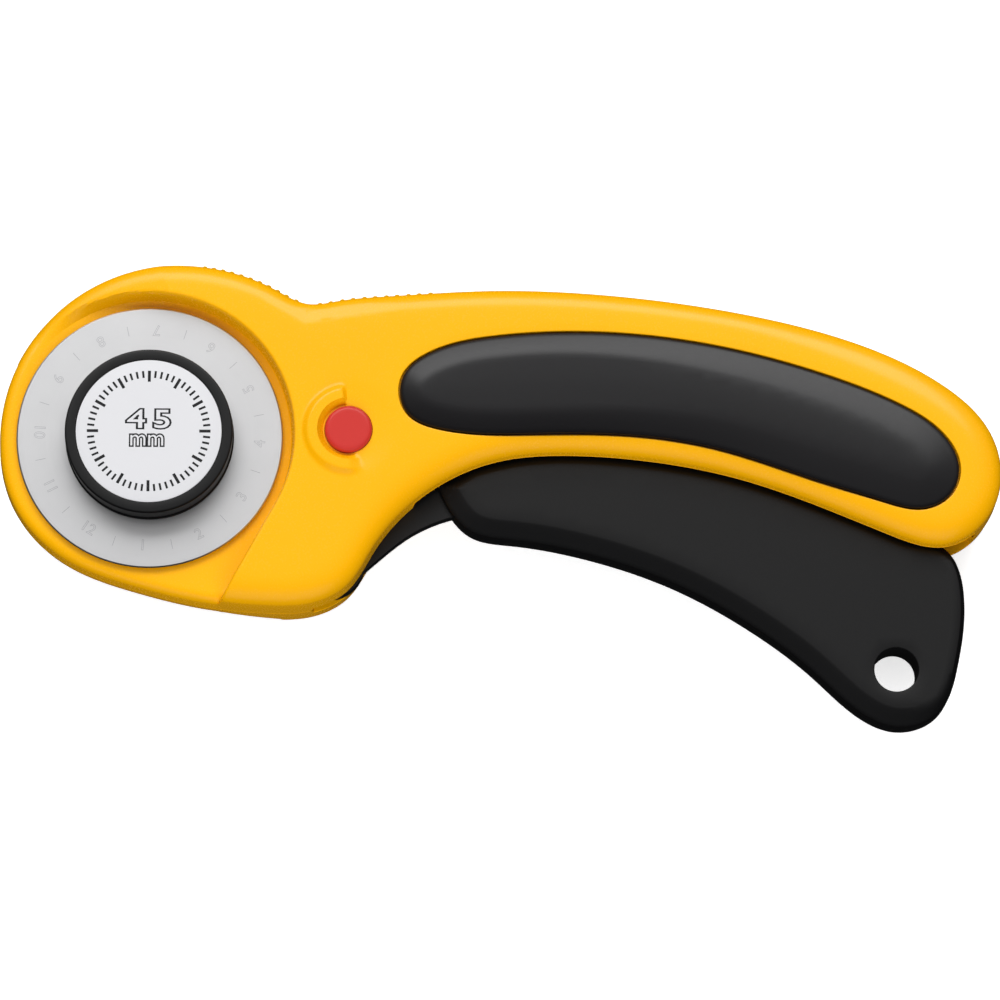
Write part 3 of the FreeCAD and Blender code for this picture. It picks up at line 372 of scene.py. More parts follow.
def colour_setting(name, description, code):
    """Property for a colour given as an sRGB hex code."""
    return FloatVectorProperty(
        name=name, description=description, subtype="COLOR", default=linear(code))


class CutterSizes(bpy.types.PropertyGroup):
    """Sizes of the mouldings and the blade that a user would change."""

    side_level: size_setting("Side level", "Height of the flat side over the parting plane", 9.0)
    edge_round: size_setting("Edge round", "Rounding along the raised side", 2.6)
    guard_level: size_setting("Guard level", "Height of the blade guard over the parting plane", 4.3)
    guard_round: size_setting("Guard round", "Rounding along the blade guard", 1.6)
    recess_radius: size_setting("Recess radius", "Radius of the round wall beside the blade", 24.0)
    rib_height: size_setting("Lock rib height", "Height of the C-shaped rib round the lock button", 0.8)
    ridge_radius: size_setting("Ridge radius", "Radius of each bar of the thumb rest", 0.55)
    grip_width: size_setting(
        "Grip shoulder", "How far the soft pad's shoulder reaches inward at its front end", 3.8)
    trigger_bevel: size_setting("Trigger bevel", "Width of the bevel along the trigger's edge", 3.3)
    blade_bevel: size_setting("Blade bevel", "Width of the ground band along the cutting edge", 0.22)
    label_radius: size_setting("Label radius", "Radius of the printed disc", node_radius("cap_label"))
    nut_scallops: IntProperty(
        name="Nut scallops", description="Finger scallops round the nut", default=12, min=3)


class CutterColours(bpy.types.PropertyGroup):
    """Colours of the cutter's finishes."""

    housing: colour_setting("Housing", "Moulded ABS of both halves", "#FFB604")
    pad: colour_setting("Grip pads", "Soft elastomer of the two pads", "#131214")
    trigger: colour_setting("Trigger", "Soft elastomer over the trigger", "#0B0B0C")
    nylon: colour_setting("Nylon", "Black nylon of the cap, the nut and the lever", "#080809")
    label: colour_setting("Label", "White film of the label", "#D9D9DC")
    ink: colour_setting("Ink", "Printed marks of the label", "#1C1C1E")
    blade: colour_setting("Blade", "Ground tool steel", "#D2D2D3")
    lock: colour_setting("Lock", "Acetal of the lock buttons", "#C93732")


def sizes():
    """Sizes as set in the panel."""
    return bpy.context.scene.cutter_sizes


def colours():
    """Colours as set in the panel."""
    return bpy.context.scene.cutter_colours


# ---------------------------------------------------------------- materials

# Widths of the slow changes: flow marks in a moulding, and patches of handling on ground steel.
DRIFT_MM = 25
CLOUD_MM = 6
FLOOR_SPECKLE_MM = 40


def add_node(tree, kind, settings, inputs):
    """Adds a shader node with its settings; an input is a plain value or a (node, output) pair."""
    node = tree.nodes.new("ShaderNode" + kind)
    for name, value in settings.items():
        setattr(node, name, value)
    for socket, value in inputs.items():
        if isinstance(value, tuple) and isinstance(value[0], bpy.types.Node):
            tree.links.new(value[0].outputs[value[1]], node.inputs[socket])
        else:
            node.inputs[socket].default_value = value
    return node


def new_material(name):
    """Empty node material, and its tree with a texture coordinate node."""
    material = bpy.data.materials.new(name)
    material.use_nodes = True
    tree = material.node_tree
    tree.nodes.clear()
    place = add_node(tree, "TexCoord", {}, {})
    return material, tree, place


def output(tree, shader):
    """Connects the finished shader to the material's surface."""
    add_node(tree, "OutputMaterial", {}, {"Surface": (shader, "BSDF")})


def rgba(colour, gain=1.0):
    """Colour with an alpha of 1, made lighter or darker."""
    return (*[min(1.0, c * gain) for c in colour], 1.0)


def grained_plastic(name, colour, ior, roughness, spread, grain_mm, depth_mm, tint, gleam=0.25):
    """Moulded plastic: a fine spark-eroded grain in gloss and relief, and a slow drift of colour."""
    material, tree, place = new_material(name)
    grain = add_node(tree, "TexNoise", {}, {
        "Vector": (place, "Object"), "Scale": 1 / (grain_mm * MM), "Detail": 2.0, "Roughness": 0.5})
    drift = add_node(tree, "TexNoise", {}, {
        "Vector": (place, "Object"), "Scale": 1 / (DRIFT_MM * MM), "Detail": 1.0})
    shade = add_node(tree, "ValToRGB", {}, {"Fac": (drift, "Fac")})
    shade.color_ramp.elements[0].position = 0.3
    shade.color_ramp.elements[0].color = rgba(colour, 1 - tint)
    shade.color_ramp.elements[1].position = 0.7
    shade.color_ramp.elements[1].color = rgba(colour, 1 + tint)
    gloss = add_node(tree, "MapRange", {}, {
        "Value": (grain, "Fac"), "From Min": 0.3, "From Max": 0.7,
        "To Min": roughness - spread, "To Max": roughness + spread})
    relief = add_node(tree, "Bump", {}, {
        "Height": (grain, "Fac"), "Strength": 0.5, "Distance": depth_mm * MM})
    shader = add_node(tree, "BsdfPrincipled", {}, {
        "Base Color": (shade, "Color"), "Roughness": (gloss, "Result"), "Normal": (relief, "Normal"),
        "IOR": ior, "Specular IOR Level": gleam})
    output(tree, shader)
    return material


def moulded_abs():
    """ABS from a satin tool: bright and even, with soft highlights along its rounded rims."""
    # The real grain is about 0.05 mm; it is drawn 0.35 mm wide, as finer would not show.
    return grained_plastic(
        "moulded_yellow_abs", colours().housing, 1.53, 0.26, 0.03, 0.35, 0.002, 0.012)


def soft_elastomer():
    """Styrenic elastomer from a fine-textured tool: deep grey, with broad dim highlights."""
    return grained_plastic(
        "moulded_pad_elastomer", colours().pad, 1.50, 0.36, 0.03, 0.3, 0.004, 0.03, 0.36)


def matt_elastomer():
    """The same elastomer from a coarser tool: nearly black, and almost without highlights."""
    return grained_plastic(
        "moulded_trigger_elastomer", colours().trigger, 1.48, 0.5, 0.04, 0.3, 0.006, 0.03, 0.3)


def satin_nylon():
    """Glass-filled nylon from a satin tool: black, with grey glints along its edges."""
    return grained_plastic(
        "moulded_black_nylon", colours().nylon, 1.53, 0.4, 0.04, 0.4, 0.004, 0.02, 0.3)


def polished_acetal():
    """Acetal from a polished tool: dense red, with a soft sheen on the rounded rim."""
    return grained_plastic("moulded_red_acetal", colours().lock, 1.48, 0.30, 0.02, 0.3, 0.003, 0.01)


def printed_film():
    """White polyester film: flat, cool white and slightly satin."""
    return grained_plastic("printed_white_film", colours().label, 1.50, 0.42, 0.02, 0.5, 0.002, 0.004)


def printed_ink():
    """Screen-printed ink: dark grey, dull, and a little uneven."""
    return grained_plastic("screen_printed_ink", colours().ink, 1.50, 0.60, 0.03, 0.2, 0.002, 0.08)


def turned_grain(name, colour, roughness, spread, pitch_mm, depth_mm, tint):
    """Metal with rings left by grinding or turning about the blade's axis."""
    material, tree, place = new_material(name)
    split = add_node(tree, "SeparateXYZ", {}, {"Vector": (place, "Object")})
    flat = add_node(tree, "CombineXYZ", {}, {"X": (split, "X"), "Y": (split, "Y")})
    reach = add_node(tree, "VectorMath", {"operation": "LENGTH"}, {"Vector": (flat, "Vector")})
    rings = add_node(tree, "TexNoise", {"noise_dimensions": "1D"}, {
        "W": (reach, "Value"), "Scale": 1 / (pitch_mm * MM), "Detail": 3.0, "Roughness": 0.6})
    cloud = add_node(tree, "TexNoise", {}, {
        "Vector": (place, "Object"), "Scale": 1 / (CLOUD_MM * MM), "Detail": 3.0})
    both = add_node(tree, "Math", {"operation": "MULTIPLY_ADD"}, {
        0: (rings, "Fac"), 1: 0.6, 2: (cloud, "Fac")})
    shade = add_node(tree, "ValToRGB", {}, {"Fac": (both, "Value")})
    shade.color_ramp.elements[0].position = 0.5
    shade.color_ramp.elements[0].color = rgba(colour, 1 - tint)
    shade.color_ramp.elements[1].position = 1.1
    shade.color_ramp.elements[1].color = rgba(colour, 1 + tint)
    gloss = add_node(tree, "MapRange", {}, {
        "Value": (rings, "Fac"), "From Min": 0.3, "From Max": 0.7,
        "To Min": roughness - spread, "To Max": roughness + spread})
    relief = add_node(tree, "Bump", {}, {
        "Height": (rings, "Fac"), "Strength": 0.35, "Distance": depth_mm * MM})
    shader = add_node(tree, "BsdfPrincipled", {}, {
        "Base Color": (shade, "Color"), "Roughness": (gloss, "Result"), "Normal": (relief, "Normal"),
        "Metallic": 1.0})
    output(tree, shader)
    return material


def ground_steel():
    """Tungsten tool steel, ground in circles: pale satin grey with faint rings."""
    # Grinding lines are about 0.02 mm apart; they are drawn 0.25 mm apart, as finer would not show.
    return turned_grain("ground_tool_steel", colours().blade, 0.40, 0.05, 0.25, 0.002, 0.02)


def honed_steel():
    """The honed band beside the cutting edge: brighter than the ground face."""
    return turned_grain("honed_tool_steel", linear("#D2D2D4"), 0.32, 0.03, 0.2, 0.001, 0.01)


def etched_steel():
    """Steel where a dial mark is etched: a shade darker and duller than the ground face."""
    return turned_grain("etched_tool_steel", linear("#A3A3A8"), 0.55, 0.03, 0.2, 0.001, 0.02)


def plated_metal(name, colour, roughness, spangle_mm):
    """Plated or drawn metal: small patches of slightly different gloss."""
    material, tree, place = new_material(name)
    patches = add_node(tree, "TexVoronoi", {}, {
        "Vector": (place, "Object"), "Scale": 1 / (spangle_mm * MM)})
    shade = add_node(tree, "ValToRGB", {}, {"Fac": (patches, "Distance")})
    shade.color_ramp.elements[0].color = rgba(colour, 0.9)
    shade.color_ramp.elements[1].color = rgba(colour, 1.08)
    gloss = add_node(tree, "MapRange", {}, {
        "Value": (patches, "Distance"), "From Min": 0.0, "From Max": 0.8,
        "To Min": roughness - 0.05, "To Max": roughness + 0.05})
    shader = add_node(tree, "BsdfPrincipled", {}, {
        "Base Color": (shade, "Color"), "Roughness": (gloss, "Result"), "Metallic": 1.0})
    output(tree, shader)
    return material


# ---------------------------------------------------------------- housing

OUTLINE_SPACING = 0.4
RIDGE_SPACING = 0.13
REST_STRETCH = (7.0, 49.0)
REST_LEVEL = 20.0
RIDGE_SINK = 0.45
RIDGE_FOOT = 5.5
FOOT_SHARE = 0.4
TOE_WIDTH = 0.06
RIM_INSET = 0.1
DRAFT = 0.15
RIM_BREAK = 0.12
SHOULDER_SLIMNESS = 1.25
CROWN_FALL = 0.55
CROWN_REACH = 3.2
EDGE_TURNS = 9
WALL_WIDTH = 0.35
FADED_WALL_WIDTH = 1.4
REAR_FOOT_WIDTH = 9.0
REAR_FOOT_REACH = (14.0, 24.0)
LIP_ROUND = 0.45
SEAT_BREAK = 0.2
SEAT_DROP = 1.2
SEAT_GAPS = (0.2, 0.14, 0.07, 0.0, -0.06)
WALL_SHARE = 0.8
WALL_THICKNESS = 2.4
WALL_STEP = 0.05
HEEL_SLIMNESS = 2.1
HEEL_REACH = (95.0, 130.0)
BELLY_REACH = (5.0, 14.0)
HANDLE_MIDDLE = ((42.0, 80.0, 110.0, 137.0), (8.0, 8.0, 3.0, -4.0))
FADE_START = (4.0, 9.1)
FADE_END = (-19.0, 4.3)
RECESS_TURN = (-29.0, 150.0)
RECESS_GAPS = (-0.12, 0.01, 0.18, 0.35, 0.4, 0.5, 0.64, 0.81, 1.2, 1.7)

# Levels inside: over the arm, over the trigger and its springs, and at the trigger's mouth.
CHANNEL_LEVEL = 1.8
CAVITY_LEVEL = 6.5
MOUTH_LEVEL = 4.3
POST_RADIUS = 2.8
SCREW_WELL_RADIUS = 2.5
SCREW_WELL_LEVEL = 5.6
HUB_WINDOW_RADIUS = 6.4

# The lock's bore, and round it a C-shaped rib with a sloped mouth; elsewhere a shallow dish.
LOCK_BORE = 4.08
REAR_BORE_ROUND = 0.5
RIB_TURN = (97.0, 285.0)
RIB_START_BLEND = (-4, 4)
RIB_END_BLEND = (-18, 10)
RIB_MOUTH = 4.35
RIB_MOUTH_WIDTH = 0.95
RIB_MOUTH_SINK = 0.8
RIB_CREST = 5.33
RIB_OUTER_SLOPE = (6.7, 8.1)
DISH_DEPTH = 0.4
DISH_REACH = (4.1, 9.2)
FRONT_LOCK_RINGS = (
    4.2, 4.35, 4.8, 5.3, 5.36, 5.5, 5.8, 6.2, 6.6, 6.8, 7.0, 7.2, 7.5, 7.8, 8.1, 8.5, 9.2)
REAR_LOCK_RINGS = (4.45, 4.6)

# Crest of the thumb notch: a line down from the crown and a line up along the back.
NOTCH_TIP = np.array([26.1, 19.9])
NOTCH_CREST_START = np.array([17.9, 24.7])
NOTCH_CREST_END = np.array([41.2, 22.2])
CREST_INSET = 2.35
NOTCH_STRETCH = 0.62
LINE_SPACING = 0.35


def housing_line():
    """The housing's outline, sampled closer along the thumb rest."""
    fine = smooth_line(HOUSING_OUTLINE, RIDGE_SPACING)
    every = round(OUTLINE_SPACING / RIDGE_SPACING)
    low, high = REST_STRETCH
    on_rest = (fine[:, 0] > low) & (fine[:, 0] < high) & (fine[:, 1] > REST_LEVEL)
    chosen = on_rest | (np.arange(len(fine)) % every == 0)
    return fine[chosen]


def ridge_rise(line):
    """How far the thumb rest's bars stand out of the outline at each of its points."""
    radius = sizes().ridge_radius / MM
    sink = radius * RIDGE_SINK
    top = line[:, 1] > REST_LEVEL
    rise = np.zeros(len(line))
    for across in THUMB_RIDGES:
        beside = np.where(top, np.abs(line[:, 0] - across), 99.0)
        centre = line[np.argmin(beside)]
        away = np.linalg.norm(line - centre, axis=1)
        bar = np.sqrt(np.clip(radius**2 - away**2, 0, None)) - sink
        rise = np.maximum(rise, bar)
    return rise


def notch_sides():
    """Start, direction and inward normal of both lines of the thumb notch's crest."""
    sides = []
    for start, end in ((NOTCH_CREST_START, NOTCH_TIP), (NOTCH_TIP, NOTCH_CREST_END)):
        along = (end - start) / np.linalg.norm(end - start)
        sides.append((start, along, np.array([along[1], -along[0]])))
    return sides


def notch_inset(points):
    """Inset that the thumb notch's V-shaped crest gives each point."""
    gap = np.maximum(*[(points - start) @ below for start, _, below in notch_sides()])
    return CREST_INSET + np.where(gap < 0, gap * NOTCH_STRETCH, gap)


def kept_stretch(line, kept):
    """Part of a line from its first kept point to its last; empty where none is kept."""
    places = np.flatnonzero(kept)
    return line[places[0]:places[-1] + 1] if len(places) else line[:0]


def notch_line(inset, limit):
    """Line of one notch inset, kept to where it lies further in than the outline's own."""
    gap = inset - CREST_INSET
    gap = gap / NOTCH_STRETCH if gap < 0 else gap
    sides = [(start + below * gap, along) for start, along, below in notch_sides()]
    (first, run), (second, climb) = sides
    reach = np.linalg.solve(np.column_stack([run, -climb]), second - first)[0]
    tip = first + run * reach
    far = np.arange(24.0, 0.1, -LINE_SPACING)[:, None]
    line = np.vstack([tip - run * far, tip, tip + climb * far[::-1]])
    return kept_stretch(line, depth(limit, line) > inset + 0.06)


def recess_gap(points):
    """Distance of each point outside the blade's recess: a circle, then its tangent."""
    radius = sizes().recess_radius / MM
    turn = np.degrees(np.arctan2(points[:, 1], points[:, 0]))
    start = math.radians(RECESS_TURN[0])
    gap = np.linalg.norm(points, axis=1) - radius
    straight = points @ np.array([math.cos(start), math.sin(start)]) - radius
    low = (turn < RECESS_TURN[0]) & (turn > -100)
    gap = np.where(low, straight, gap)
    return np.where((turn > RECESS_TURN[1]) | (turn <= -100), -9.0, gap)


def recess_line(gap, limit):
    """The recess wall's line in plan, at a distance outside the recess, kept inside the outline."""
    radius = sizes().recess_radius / MM + gap
    start, end = map(math.radians, RECESS_TURN)
    turns = np.arange(start, end, LINE_SPACING / radius)
    arc = radius * np.stack([np.cos(turns), np.sin(turns)], axis=1)
    along = np.array([math.sin(start), -math.cos(start)])
    tail = arc[0] + np.arange(28.0, 0.1, -LINE_SPACING)[:, None] * along
    line = np.vstack([tail, arc])
    return kept_stretch(line, depth(limit, line) > DRAFT + 0.1)


def edge_profile(inset, top, rounding, slimness):
    """Level at a distance inside the outline: a drafted wall, then a shoulder wider than it is high."""
    wall = top - rounding
    return np.where(
        inset <= DRAFT, wall * np.clip(inset, 0, None) / DRAFT,
        wall + rounding * quarter_round(inset - DRAFT, rounding * slimness))


def outer_level(points, line, rings, front):
    """Level of a housing half's outside at each point."""
    s = sizes()
    side = s.side_level / MM
    guard = s.guard_level / MM
    inset = depth(line, points)
    notch = np.maximum(notch_inset(points), DRAFT)
    inset = snapped(np.where(inset > DRAFT, np.minimum(inset, notch), inset), rings)
    fade = FADE_START[1] + (points[:, 0] - FADE_START[0]) * (
        (FADE_START[1] - FADE_END[1]) / (FADE_START[0] - FADE_END[0]))
    crown = side - CROWN_FALL * np.exp(-np.clip(inset, 0, None) / CROWN_REACH)
    full = np.clip(np.minimum(crown, fade), guard, side)
    share = (full - guard) / (side - guard)
    rounding = s.guard_round / MM + share * (s.edge_round - s.guard_round) / MM
    below_middle = points[:, 1] < np.interp(points[:, 0], *HANDLE_MIDDLE)
    belly = step(points[:, 0], *BELLY_REACH) * below_middle
    slimmer = np.maximum(belly, step(points[:, 0], *HEEL_REACH))
    slimness = SHOULDER_SLIMNESS + (HEEL_SLIMNESS - SHOULDER_SLIMNESS) * slimmer
    rise = edge_profile(inset, full, rounding, slimness)
    plate = edge_profile(inset, guard, s.guard_round / MM, SHOULDER_SLIMNESS)
    gap = recess_gap(points)
    width = WALL_WIDTH + FADED_WALL_WIDTH * (1 - share)
    if not front:
        width = width + REAR_FOOT_WIDTH * step(-points[:, 1], *REAR_FOOT_REACH)
    wall = WALL_SHARE * np.clip(gap / width, 0, 1)
    wall = wall + (1 - WALL_SHARE) * quarter_round(gap - width, LIP_ROUND)
    level = plate + (np.maximum(rise, plate) - plate) * np.where(gap > 0, wall, 0.0)
    seat = depth(smooth_line(GRIP_OUTLINE, 0.5), points)
    lip = SEAT_BREAK * (1 - quarter_round(-seat, SEAT_BREAK))
    level = level - np.where(seat > 0.03, SEAT_DROP, lip)
    away = points - LOCK
    reach = np.linalg.norm(away, axis=1)
    if front:
        level = level + lock_relief(away, reach)
    else:
        sunk = 1 - quarter_round(reach - DISH_REACH[0], REAR_BORE_ROUND)
        level = level - REAR_BORE_ROUND * sunk
        for place in BARE_SCREWS:
            well = np.linalg.norm(points - np.array(place), axis=1)
            level = np.where(well < SCREW_WELL_RADIUS - 0.01, SCREW_WELL_LEVEL, level)
    return level


def lock_relief(away, reach):
    """Rise or fall of the front round the lock: a C-shaped rib, and a shallow dish where it opens."""
    turn = np.degrees(np.arctan2(away[:, 1], away[:, 0])) % 360
    height = sizes().rib_height / MM
    land = height * (1 - step(reach, *RIB_OUTER_SLOPE))
    cone = np.clip((reach - RIB_MOUTH) / RIB_MOUTH_WIDTH, 0, 1)
    ribbed = np.where(reach < RIB_CREST, cone * (RIB_MOUTH_SINK + height) - RIB_MOUTH_SINK, land)
    dished = -DISH_DEPTH * (1 - step(reach, *DISH_REACH))
    begun = step(turn - RIB_TURN[0], *RIB_START_BLEND)
    share = begun * (1 - step(turn - RIB_TURN[1], *RIB_END_BLEND))
    return share * ribbed + (1 - share) * dished


def inner_level(points, line, inset_rings):
    """Level of a housing half's inside: rim, arm channel, handle cavity and open mouths."""
    inset = snapped(depth(line, points), inset_rings)
    level = np.zeros(len(points))
    hollow = inset > WALL_THICKNESS + 0.02
    level[hollow] = CHANNEL_LEVEL
    level[hollow & (points[:, 0] > HANDLE_CAVITY_START)] = CAVITY_LEVEL
    for place in SCREW_PLACES:
        level[np.linalg.norm(points - np.array(place), axis=1) < POST_RADIUS + 0.01] = 0.0
    neck = inside(np.array(NECK_MOUTH), points)
    mouth = inside(np.array(TRIGGER_MOUTH), points)
    level[neck] = np.maximum(level[neck], CHANNEL_LEVEL)
    level[mouth] = np.maximum(level[mouth], MOUTH_LEVEL)
    return level


def arc(centre, radius, start, sweep, count):
    """Points along part of a circle."""
    turns = start + np.linspace(0, sweep, count)
    return np.asarray(centre) + radius * np.stack([np.cos(turns), np.sin(turns)], axis=1)


def hub_window():
    """Curved window in the guard that the arm's hub swings through."""
    reach = np.linalg.norm(PIVOT)
    rest = math.atan2(-PIVOT[1], -PIVOT[0])
    travel = math.radians(frame_joint("trigger_squeeze")["range_deg"][1])
    out = rest + travel
    hub_out = PIVOT + reach * np.array([math.cos(out), math.sin(out)])
    return np.vstack([
        arc(PIVOT, reach + HUB_WINDOW_RADIUS, rest, travel, 14),
        arc(hub_out, HUB_WINDOW_RADIUS, out, math.pi, 20)[1:-1],
        arc(PIVOT, reach - HUB_WINDOW_RADIUS, out, -travel, 14),
        arc((0.0, 0.0), HUB_WINDOW_RADIUS, rest + math.pi, math.pi, 20)[1:-1],
    ])


def frame_joint(name):
    """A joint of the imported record."""
    return next(joint for joint in frame["joints"] if joint["name"] == name)


def half_housing(front):
    """Closed mesh of one housing half, front face up."""
    s = sizes()
    line = housing_line()
    normals = inward(line)
    rise = np.clip(ridge_rise(line), 0, None)
    turns = np.linspace(0, math.pi / 2, EDGE_TURNS)
    widest = s.edge_round / MM * SHOULDER_SLIMNESS
    rings = [DRAFT + widest * (1 - math.cos(turn)) for turn in turns]
    rings += [rings[-1] + extra for extra in (0.7, 1.4, 2.3)]
    toe = line - normals * rise[:, None]
    foot = toe + normals * TOE_WIDTH
    outer_rings = [line + normals * ring for ring in rings]
    grip = smooth_line(GRIP_OUTLINE, 0.5)
    seat_rings = [grip - inward(grip) * gap for gap in SEAT_GAPS]
    bore = circle(LOCK, LOCK_BORE, 96)
    window = hub_window()
    radii = FRONT_LOCK_RINGS if front else REAR_LOCK_RINGS
    lock_rings = [circle(LOCK, radius, 120) for radius in radii]
    if not front:
        for place in BARE_SCREWS:
            for radius in (SCREW_WELL_RADIUS - 0.02, SCREW_WELL_RADIUS):
                lock_rings.append(circle(place, radius, 48))
    open_lines = [recess_line(gap, line) for gap in RECESS_GAPS]
    notch_lines = [notch_line(inset, line) for inset in rings[1:]]
    open_lines += [found for found in notch_lines if len(found) > 2]

    def within(points):
        return inside(toe, points) & ~inside(bore, points) & ~inside(window, points)

    flat, faces = plan([toe, foot, *outer_rings, *seat_rings, *lock_rings, bore, window],
                       open_lines, 1.5, within)
    level = outer_level(flat, line, rings, front)
    rim_line = line + normals * RIM_INSET
    rim = inner_level(rim_line, line, [])
    level[:len(toe)] = rim + RIM_BREAK
    bars = rise > 0.01
    on_foot = np.where(bars, RIDGE_FOOT, (s.side_level - s.edge_round) / MM * FOOT_SHARE)
    guard_foot = (s.guard_level - s.guard_round) / MM * FOOT_SHARE
    on_foot = np.where(recess_gap(foot) < 0, np.minimum(on_foot, guard_foot), on_foot)
    level[len(toe):2 * len(toe)] = np.maximum(on_foot, rim + RIM_BREAK + 0.05)
    level = np.maximum(level, 0.05)
    top = (np.column_stack([flat, level]), faces)

    wall_rings = [WALL_THICKNESS, WALL_THICKNESS + WALL_STEP]
    inner_rings = [line + normals * inset for inset in (WALL_THICKNESS / 2, *wall_rings)]
    posts = [circle(place, radius, 32) for place in SCREW_PLACES
             for radius in (POST_RADIUS, POST_RADIUS + 0.03)]

    def under(points):
        return inside(rim_line, points) & ~inside(bore, points) & ~inside(window, points)

    flat, faces = plan([rim_line, *inner_rings, *posts, bore, window], [], 2.5, under)
    below = inner_level(flat, line, wall_rings)
    below[:len(rim_line)] = rim
    bottom = (np.column_stack([flat, below]), faces)

    edge = strip(raised(rim_line, rim), raised(toe, rim + RIM_BREAK))
    walls = [strip(raised(hole, inner_level(hole, line, [])),
                   raised(hole, outer_level(hole, line, rings, front))) for hole in (bore, window)]
    return [top, bottom, edge, *walls]


def mirrored(meshes):
    """The same meshes on the other side of the parting plane."""
    return [(np.asarray(points) * (1, 1, -1), faces) for points, faces in meshes]


class CUTTER_OT_housing(bpy.types.Operator):
    """Build both halves of the moulded housing"""

    bl_idname = "cutter.housing"
    bl_label = "Housing"

    def execute(self, context):
        abs_plastic = moulded_abs()
        piece("front_housing", half_housing(True), abs_plastic, "housing",
              ["front_shell"])
        piece("rear_housing", mirrored(half_housing(False)), abs_plastic, "housing",
              ["rear_shell"])
        return {"FINISHED"}


# ---------------------------------------------------------------- grips

GRIP_FOOT = 7.85
GRIP_SHOULDER = 8.75
PAD_GAP = 0.25
PAD_STEP = 0.02
PAD_DOME = 0.12
PAD_DOME_REACH = 3.0
LIP_WIDTH = 0.5
LIP_SHARE = 0.2
SLOPE_EASE = 1.3
PAD_TAIL_SHOULDER = 5.8
PAD_SHOULDER_GROWTH = (62.0, 122.0)


def soft_slope(inset, width):
    """Rise from 0 to 1 over a width: a small rounded lip, then a slope that eases into the crown."""
    lip = quarter_round(inset, LIP_WIDTH)
    ease = 1 - (1 - np.clip(inset / width, 0, 1)) ** SLOPE_EASE
    return LIP_SHARE * lip + (1 - LIP_SHARE) * ease


def grip_pad():
    """Closed mesh of the front pad: a soft shoulder all round and a nearly flat crown."""
    s = sizes()
    line = smooth_line(GRIP_OUTLINE, 0.45)
    normals = inward(line)
    crown = level_of(node_high("front_grip").z)
    width = s.grip_width / MM
    turns = np.linspace(0, math.pi / 2, 12)
    foot = PAD_GAP + PAD_STEP
    rings = [PAD_GAP, foot, *[foot + width * 1.3 * (1 - math.cos(turn)) for turn in turns[1:]]]
    lines = [line + normals * ring for ring in rings]

    def within(points):
        return inside(lines[0], points)

    flat, faces = plan(lines, [], 1.3, within)
    inset = snapped(depth(line, flat), rings)
    width = width + (PAD_TAIL_SHOULDER - width) * step(flat[:, 0], *PAD_SHOULDER_GROWTH)
    dome = PAD_DOME * (1 - np.exp(-np.clip(inset - width, 0, None) / PAD_DOME_REACH))
    slope = (crown - GRIP_SHOULDER - PAD_DOME) * soft_slope(inset - foot, width)
    level = GRIP_SHOULDER + slope + dome
    level[:len(line)] = GRIP_FOOT
    top = (np.column_stack([flat, level]), faces)
    base = (np.column_stack([flat, np.full(len(flat), GRIP_FOOT)]), faces[:, ::-1])
    return [top, base]


class CUTTER_OT_grips(bpy.types.Operator):
    """Build the soft grip pads of both sides"""

    bl_idname = "cutter.grips"
    bl_label = "Grip pads"

    def execute(self, context):
        elastomer = soft_elastomer()
        pad = grip_pad()
        piece("front_grip_pad", pad, elastomer, "housing", ["front_grip"])
        piece("rear_grip_pad", mirrored(pad), elastomer, "housing", ["rear_grip"])
        return {"FINISHED"}


# ---------------------------------------------------------------- trigger

TRIGGER_WALL = 2.2
HANG_HOLE = (126.0, -39.2)
HANG_HOLE_RADIUS = 3.7
HANG_HOLE_ROUND = 0.25
TAIL_SHARE = 0.7
TAIL_REACH = (127.0, 136.0)


def chamfer(inset, width):
    """Rise from 0 to 1 over a width: a rounded lip, a straight slope and a soft crease at its top."""
    lip = 0.28 * quarter_round(inset, 0.12 * width)
    slope = 0.72 * np.clip((inset - 0.06 * width) / (0.9 * width), 0, 1)
    crease = 0.03 * np.exp(-(((inset - width) / (0.13 * width)) ** 2))
    return np.clip(lip + slope, 0, 1) - crease


def trigger_half():
    """Front half of the trigger grip, a flat face with a bevel along its edge, and its hole."""
    s = sizes()
    belly = smooth_line(TRIGGER_BELLY, 0.45, closed=False)
    top = smooth_line(TRIGGER_TOP, 0.9, closed=False)
    nose = np.linspace(TRIGGER_NOSE[0], TRIGGER_NOSE[1], 8)
    line = np.vstack([belly[:-1], top[:-1], nose[:-1]])
    normals = inward(line)
    half = level_of(node_high("trigger_grip").z)
    width = s.trigger_bevel / MM
    rings = [0.0, 0.08, 0.2, 0.4, 0.8, 1.5, 2.3]
    rings += [width + further for further in (-0.4, -0.2, 0.0, 0.25, 0.5)]
    lines = [line + normals * ring for ring in rings]
    hole = circle(HANG_HOLE, HANG_HOLE_RADIUS, 96)
    rims = [circle(HANG_HOLE, HANG_HOLE_RADIUS + gap, 96) for gap in (0.02, 0.07, 0.14, 0.25)]

    def within(points):
        return inside(line, points) & ~inside(hole, points)

    flat, faces = plan([line, hole, *lines[1:], *rims], [], 1.6, within)
    inset = snapped(depth(line, flat), rings)
    width = width * (1 - TAIL_SHARE * step(flat[:, 0], *TAIL_REACH))
    level = TRIGGER_WALL + (half - TRIGGER_WALL) * chamfer(inset, width)
    rim = np.linalg.norm(flat - np.array(HANG_HOLE), axis=1) - HANG_HOLE_RADIUS
    level -= HANG_HOLE_ROUND * (1 - quarter_round(rim, HANG_HOLE_ROUND))
    level[:len(line)] = TRIGGER_WALL
    return (np.column_stack([flat, level]), faces), line, hole, half - HANG_HOLE_ROUND


